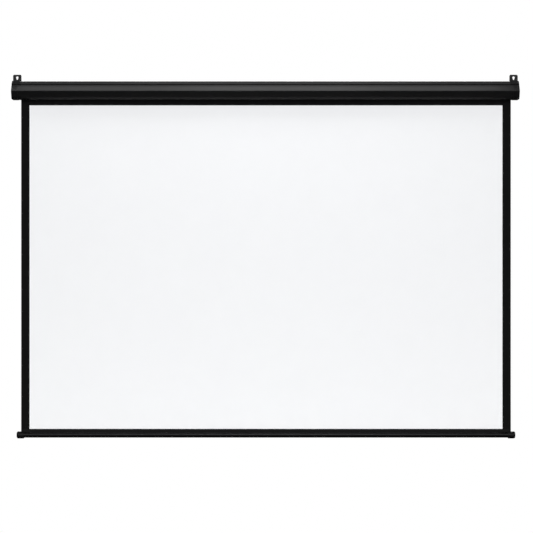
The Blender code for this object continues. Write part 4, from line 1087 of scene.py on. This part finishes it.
def sheet_body(cloth):
    """Thin hanging sheet: white front inside its printed mask, black back, soft waves.

    Its lower end runs a little way into the hem, as the real cloth does.
    """
    low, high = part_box("screen_sheet")
    low.z -= HEM_LAP
    middle = (low.x + high.x) / 2
    view_left, view_right = middle - cloth.view_width / 2, middle + cloth.view_width / 2
    view_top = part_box("case_housing")[0].z - cloth.top_band
    columns = cloth_lines(low.x, high.x, [view_left, view_right], SHEET_COLUMNS)
    rows = cloth_lines(low.z, high.z, [view_top], SHEET_ROWS)

    def sway(x, z):
        """How far the cloth stands off its plane, always to the wall, clear of the roller."""
        ends = min(1, (high.z - z) / cloth.wave_fade) * min(1, (z - low.z) / cloth.wave_fade)
        fade = ends * ends * (3 - 2 * ends)
        ripple = WAVE_LIFT
        for tall, long, phase, lean, swing, rate in RIPPLES:
            drift = phase + lean * z + swing * math.sin(rate * z)
            ripple += tall * math.sin(math.tau * x / (long * cloth.wave_pitch) + drift)
        edge = min(x - low.x, high.x - x)
        curl = max(0, 1 - edge / cloth.curl_width) ** 2
        return fade * (cloth.wave * ripple + cloth.curl * curl)

    drawn = bmesh.new()

    def layer(depth):
        """Points of one face of the cloth, by row and column."""
        return {(row, column): drawn.verts.new((x, depth + sway(x, z), z))
                for row, z in enumerate(rows) for column, x in enumerate(columns)}

    front, back = layer(low.y), layer(high.y)
    last_row, last_column = len(rows) - 1, len(columns) - 1
    for row in range(last_row):
        for column in range(last_column):
            spots = [(row, column), (row, column + 1), (row + 1, column + 1), (row + 1, column)]
            x = (columns[column] + columns[column + 1]) / 2
            z = (rows[row] + rows[row + 1]) / 2
            white = view_left < x < view_right and z < view_top
            face = drawn.faces.new([front[spot] for spot in spots])
            face.material_index = WHITE if white else MASK
            drawn.faces.new([back[spot] for spot in reversed(spots)]).material_index = BACKING
    around = [(0, column) for column in range(last_column)]
    around += [(row, last_column) for row in range(last_row)]
    around += [(last_row, column) for column in range(last_column, 0, -1)]
    around += [(row, 0) for row in range(last_row, 0, -1)]
    for spot, after in zip(around, around[1:] + around[:1]):
        edge = (front[after], front[spot], back[spot], back[after])
        drawn.faces.new(edge).material_index = MASK
    bmesh.ops.recalc_face_normals(drawn, faces=drawn.faces)
    return placed("sheet_cloth", drawn)


def hem_body(bar):
    """Doubled cloth that runs into the bar and loops round its rod, with its weld pressed in."""
    low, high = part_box("bottom_hem")
    centre = middle_of("hem_rod")[1:]
    loop_inner = bar.rod_radius + FIT
    loop_outer = loop_inner + bar.ply
    half, dent = bar.ply / 2, bar.weld_dent
    lean = half_angle(bar.ply, loop_outer)
    start, end = high.z - bar.weld_start, high.z - bar.weld_end
    front = [(half, high.z), (half, start), (half - dent, start - dent), (half - dent, end + dent),
             (half, end)]
    outline = [Vector((centre[0] - across, up)) for across, up in front]
    outline += arc(centre, loop_outer, 90 + lean, 450 - lean, HEM_STEPS)
    outline += [Vector((centre[0] + across, up)) for across, up in reversed(front)]
    item = extruded("hem_cloth", outline, low.x, high.x)
    bore = extruded("loop", circle(centre, loop_inner, SMALL_STEPS), low.x - CUT_PAST,
                    high.x + CUT_PAST)
    return combine(item, [(bore, "DIFFERENCE")])


def bar_body(bar):
    """Round bar with a slot along its top, its lips rounded."""
    low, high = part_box("weight_bar")
    centre = Vector(((low.y + high.y) / 2, low.z + bar.radius))
    inner = bar.radius - bar.wall
    outer_half, inner_half = half_angle(bar.slot, bar.radius), half_angle(bar.slot, inner)
    outside = arc(centre, bar.radius, 90 + outer_half, 450 - outer_half, BAR_STEPS)
    inside = arc(centre, inner, 450 - inner_half, 90 + inner_half, BAR_STEPS)
    corners = []
    for line in (outside, inside):
        corners.append((line[0], bar.slot_round))
        corners += [(point, 0) for point in line[2:-2]]
        corners.append((line[-1], bar.slot_round))
    return extruded("bar_tube", rounded(corners), low.x, high.x)


NICK_SHARE = 0.3  # chamfer of a cap's thin edges, as a share of its small rounds


def bar_cap_body(word, side, bar):
    """Moulded cap of the bar, rounded outside, chamfered at its mouth and slotted for the hem."""
    low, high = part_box(word + "_bar_cap")
    hem_low, hem_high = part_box("bottom_hem")
    middle = (hem_low.x + hem_high.x) / 2
    mouth, tip = sorted((abs(low.x - middle), abs(high.x - middle)))
    centre = Vector((middle, (low.y + high.y) / 2, (low.z + high.z) / 2))
    bore = bar.radius + FIT
    lip, neck, floor = bore + bar.cap_lip, mouth + bar.cap_chamfer, tip - bar.cap_end
    nick = NICK_SHARE * bar.edge_round
    profile = [(0, tip)]
    profile += [(bar.cap_radius - inset, tip - back)
                for inset, back in quarter_round(bar.cap_round, BAR_CAP_STEPS)]
    profile += [
        (bar.cap_radius, neck + bar.edge_round), (bar.cap_radius - nick, neck),
        (lip + nick, mouth + nick), (lip, mouth), (bore + nick, mouth), (bore, mouth + nick),
        (bore, floor), (0, floor),
    ]
    item = turned(word + "_bar_cap_moulding", profile, centre, side, BAR_STEPS)
    base = centre.z + bar.radius - bar.wall
    front, back, top = centre.y - bar.slot / 2, centre.y + bar.slot / 2, base + bar.cap_radius
    slot = extruded("slot", [(front, base), (back, base), (back, top), (front, top)],
                    middle + side * (mouth - CUT_PAST),
                    middle + side * ((hem_high.x - hem_low.x) / 2 + FIT))
    return combine(item, [(slot, "DIFFERENCE")])


class PROJECTION_OT_case(Operator):
    """Make the extruded case."""
    bl_idname = "projection.case"
    bl_label = "Case"

    def execute(self, context):
        item = case_body(context.scene.screen_case)
        # The case's second finish is the painted shade in its groove.
        settle(item, "case", "case_paint", "case_housing", coated_case, painted_groove_shade)
        return {"FINISHED"}


class PROJECTION_OT_end_caps(Operator):
    """Make the two moulded end caps."""
    bl_idname = "projection.end_caps"
    bl_label = "End caps"

    def execute(self, context):
        scene = context.scene
        case, caps, screws = scene.screen_case, scene.screen_caps, scene.screen_fasteners
        for word, side in SIDES.items():
            node = word + "_end_cap"
            item, tools = cap_body(node, side, case, caps, screws)
            if side == LEFT:
                tools += motor_cap_tools(case, caps, screws)
            else:
                tools += idler_cap_tools(case, caps)
            combine(item, tools)
            settle(item, "case", "cap_plastic", node, moulded_abs)
        return {"FINISHED"}


class PROJECTION_OT_brackets(Operator):
    """Make the two hanging brackets."""
    bl_idname = "projection.brackets"
    bl_label = "Hanging brackets"

    def execute(self, context):
        scene = context.scene
        for word in SIDES:
            item = bracket_body(word, scene.screen_case, scene.screen_brackets)
            settle(item, "case", "bracket_paint", word + "_hanging_bracket", coated_steel)
        return {"FINISHED"}


class PROJECTION_OT_fasteners(Operator):
    """Make the cap screws and the blind grommet."""
    bl_idname = "projection.fasteners"
    bl_label = "Cap screws and grommet"

    def execute(self, context):
        screws = context.scene.screen_fasteners
        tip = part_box("case_housing")[1].x - screws.bite
        for word, side in SIDES.items():
            for port, (centre, _) in port_seats(context.scene.screen_case).items():
                node = "%s_cap_screw_%s" % (word, port)
                outer = max(abs(corner.x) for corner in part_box(node))
                item = screw_body("%s_screw_%s" % (word, port), side, centre, outer, tip, screws)
                settle(item, "case", "black_screw", node, blackened_steel)
        settle(grommet_body(screws), "case", "grommet_rubber", "cable_grommet", moulded_rubber)
        return {"FINISHED"}


class PROJECTION_OT_cloth(Operator):
    """Make the screen cloth and its hem."""
    bl_idname = "projection.cloth"
    bl_label = "Screen cloth and hem"

    def execute(self, context):
        hem = settle(hem_body(context.scene.screen_bar), "bar", "mask_fabric", "bottom_hem",
                     welded_hem)
        sheet = settle(sheet_body(context.scene.screen_cloth), "case", "sheet_fabric",
                       "screen_sheet", matte_screen_cloth, printed_mask, black_backing)
        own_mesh(sheet)
        return {"FINISHED"}


class PROJECTION_OT_weight_bar(Operator):
    """Make the weight bar and its two caps."""
    bl_idname = "projection.weight_bar"
    bl_label = "Weight bar"

    def execute(self, context):
        bar = context.scene.screen_bar
        settle(bar_body(bar), "bar", "case_paint", "weight_bar", coated_bar)
        for word, side in SIDES.items():
            item = bar_cap_body(word, side, bar)
            settle(item, "bar", "cap_plastic", word + "_bar_cap", moulded_pvc)
        return {"FINISHED"}


INNER_FINISHES = {
    zinc_plate: ["motor_bracket", "idler_bracket", "motor_tube", "output_shaft", "idler_pin",
                 "hem_rod", "motor_plate_screw_upper", "motor_plate_screw_lower",
                 "idler_plate_screw_upper", "idler_plate_screw_lower"],
    moulded_abs: ["motor_head", "motor_crown", "idler_plug"],
    moulded_nylon: ["drive_wheel", "cloth_strip"],
    sintered_bronze: ["idler_bush"],
    mill_finish_aluminium: ["roller_tube"],
    printed_mask: ["wound_leader"],
    white_acetal: ["upper_limit_adjuster"],
    yellow_acetal: ["lower_limit_adjuster"],
}


class PROJECTION_OT_inner_parts(Operator):
    """Finish the parts inside the case, which keep their CAD shape."""
    bl_idname = "projection.inner_parts"
    bl_label = "Inner parts"

    def execute(self, context):
        for maker, nodes in INNER_FINISHES.items():
            for node in nodes:
                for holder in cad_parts[node].material_slots:
                    holder.material = finish(maker)
        return {"FINISHED"}


# Brightness of the room by elevation in degrees, as shares of ROOM_PEAK, lowest first.
ROOM_PEAK = 2.0
FRONT_ROOM = [(-90, 0.003), (-8, 0.003), (5, 0.03), (20, 0.92), (33, 0.05), (50, 0.03),
              (75, 0.05), (90, 0.05)]
BACK_ROOM = [(-90, 0.003), (-8, 0.01), (5, 0.05), (30, 0.08), (61, 0.15), (90, 0.05)]
ROOM_BLEND = 0.3  # front and back of the room run into each other this far about the sides
SENSOR_WIDTH = 36          # of the camera, in millimetres
CAMERA_RANGE = (0.1, 100)  # nearest and farthest thing that it sees


def studio_camera(stage):
    """Level camera, straight in front of the sheet."""
    data = bpy.data.cameras.new("camera")
    data.sensor_width = SENSOR_WIDTH
    data.lens = SENSOR_WIDTH * stage.distance / stage.seen_width
    data.clip_start, data.clip_end = CAMERA_RANGE
    camera = bpy.data.objects.new("camera", data)
    camera.location = (stage.camera_across, middle_of("screen_sheet").y - stage.distance,
                       -stage.camera_drop)
    camera.rotation_euler = (math.pi / 2, 0, 0)
    bpy.context.scene.collection.objects.link(camera)
    return camera


def softboxes(stage):
    """Each light's name, place, the place that it faces, its width and height and its power."""
    low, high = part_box("screen_sheet")
    sheet = (0, (low.y + high.y) / 2, (low.z + high.z) / 2)
    strip_y, case_y = -0.317, -0.08  # depth of the strips over the case, and what they face
    rear_y = -0.04                   # depth that the lights behind the case face
    return [
        ("left_softbox", (-3.8, -4.7, -0.5), sheet, (2.6, 2.6), stage.side_power),
        ("right_softbox", (3.8, -4.7, -0.5), sheet, (2.6, 2.6), stage.side_power),
        ("front_softbox", (0, -4.7, 1.2), sheet, (2.0, 0.8), stage.front_power),
        ("top_softbox", (-0.05, strip_y, 0.6), (-0.05, case_y, 0), (2.36, 0.3), stage.top_power),
        ("glow_softbox", (0.05, strip_y, 0.59), (0.05, case_y, 0), (0.9, 0.3), stage.glow_power),
        ("low_softbox", (0, -1.35, -1.5), (0, -0.05, -0.6), (1.2, 0.35), stage.low_power),
        ("chin_softbox", (0, -0.5, -2.2), (0, -0.065, -0.035), (2.3, 0.35), stage.chin_power),
        ("back_softbox", (0, 0.75, 1.3), (0, rear_y, 0.03), (1.6, 0.4), stage.back_power),
        ("rear_softbox", (0, 4.5, 1.6), sheet, (3.0, 1.6), stage.rear_power),
        ("left_end_softbox", (-3.6, 2.0, 0.9), (low.x, rear_y, 0), (1.4, 1.4), stage.end_power),
        ("right_end_softbox", (3.6, 2.0, 0.9), (high.x, rear_y, 0), (1.4, 1.4), stage.end_power),
    ]


def area_light(name, place, target, size, watts):
    """Soft rectangular light at a place, turned to a target, out of the camera's sight."""
    light = bpy.data.lights.new(name, "AREA")
    light.shape = "RECTANGLE"
    light.size, light.size_y = size
    light.energy = watts
    lamp = bpy.data.objects.new(name, light)
    lamp.location = place
    lamp.rotation_euler = (Vector(target) - Vector(place)).to_track_quat("-Z", "Y").to_euler()
    lamp.visible_camera = False
    bpy.context.scene.collection.objects.link(lamp)


def room_world(strength):
    """White backdrop to the camera, and a room to all else, dark low down and bright high up."""
    world = bpy.data.worlds.new("studio_room")
    world.use_nodes = True
    tree = world.node_tree
    tree.nodes.clear()
    look = add_node(tree, "ShaderNodeTexCoord").outputs["Generated"]
    apart = add_node(tree, "ShaderNodeSeparateXYZ", {"Vector": look}).outputs
    height = add_node(tree, "ShaderNodeMapRange", {"Value": apart["Z"], "From Min": -1.0})
    ramps = []
    for stops in (FRONT_ROOM, BACK_ROOM):
        ramp = add_node(tree, "ShaderNodeValToRGB", {"Fac": height.outputs["Result"]})
        elements = ramp.color_ramp.elements
        while len(elements) < len(stops):
            elements.new(0.5)
        for element, (elevation, level) in zip(elements, stops):
            element.position = (math.sin(math.radians(elevation)) + 1) / 2
            element.color = (level, level, level, 1)
        ramps.append(ramp.outputs["Color"])
    depth = add_node(tree, "ShaderNodeMapRange",
                     {"Value": apart["Y"], "From Min": -ROOM_BLEND, "From Max": ROOM_BLEND})
    both = add_node(tree, "ShaderNodeMix",
                    {"Factor": depth.outputs["Result"], "A": ramps[0], "B": ramps[1]},
                    data_type="RGBA")
    room = add_node(tree, "ShaderNodeBackground", {"Color": find_socket(both.outputs, "Result"),
                                                   "Strength": ROOM_PEAK * strength})
    backdrop = add_node(tree, "ShaderNodeBackground", {"Color": (1, 1, 1, 1), "Strength": 1.0})
    seen = add_node(tree, "ShaderNodeLightPath").outputs["Is Camera Ray"]
    mixed = add_node(tree, "ShaderNodeMixShader",
                     {"Fac": seen, 1: room.outputs[0], 2: backdrop.outputs[0]})
    add_node(tree, "ShaderNodeOutputWorld", {"Surface": mixed.outputs[0]})
    return world


def studio_floor(stage):
    """Pale floor under the screen, left out of glossy reflections."""
    drawn = bmesh.new()
    bmesh.ops.create_grid(drawn, x_segments=2, y_segments=2, size=1)
    half_size = (stage.floor_width / 2, stage.floor_depth / 2, 1)
    bmesh.ops.scale(drawn, verts=drawn.verts, vec=half_size)
    floor = placed("studio_floor", drawn)
    floor.location.z = -stage.floor_drop
    floor.visible_glossy = False
    floor.data.materials.append(finish(pale_floor))
    return floor


class PROJECTION_OT_stage(Operator):
    """Make the camera, the soft lights, the room and the pale floor."""
    bl_idname = "projection.stage"
    bl_label = "Stage"

    def execute(self, context):
        stage = context.scene.screen_stage
        context.scene.camera = studio_camera(stage)
        for light in softboxes(stage):
            area_light(*light)
        context.scene.world = room_world(stage.room_light)
        studio_floor(stage)
        context.scene.view_settings.view_transform = "Standard"
        return {"FINISHED"}


OPERATORS = [
    PROJECTION_OT_case, PROJECTION_OT_end_caps, PROJECTION_OT_brackets, PROJECTION_OT_fasteners,
    PROJECTION_OT_cloth, PROJECTION_OT_weight_bar, PROJECTION_OT_inner_parts, PROJECTION_OT_stage,
]


class PROJECTION_PT_pieces(Panel):
    """Lists the pieces and what a user can change."""
    bl_idname = "PROJECTION_PT_pieces"
    bl_label = "Projector screen"
    bl_space_type = "VIEW_3D"
    bl_region_type = "UI"
    bl_category = "Projector screen"

    def draw(self, context):
        for operator in OPERATORS:
            self.layout.operator(operator.bl_idname)
        for name, kind in SETTINGS.items():
            box = self.layout.box()
            for key in kind.__annotations__:
                box.prop(getattr(context.scene, name), key)


def register():
    """Register the settings, the operators and the panel."""
    for kind in [*SETTINGS.values(), *OPERATORS, PROJECTION_PT_pieces]:
        bpy.utils.register_class(kind)
    for name, kind in SETTINGS.items():
        setattr(bpy.types.Scene, name, PointerProperty(type=kind))


def unregister():
    """Take them out again."""
    for name in SETTINGS:
        delattr(bpy.types.Scene, name)
    for kind in [PROJECTION_PT_pieces, *reversed(OPERATORS), *reversed(SETTINGS.values())]:
        bpy.utils.unregister_class(kind)


def main():
    """Make every piece."""
    register()
    for operator in OPERATORS:
        group, call = operator.bl_idname.split(".")
        getattr(getattr(bpy.ops, group), call)()


if __name__ == "__main__":
    main()
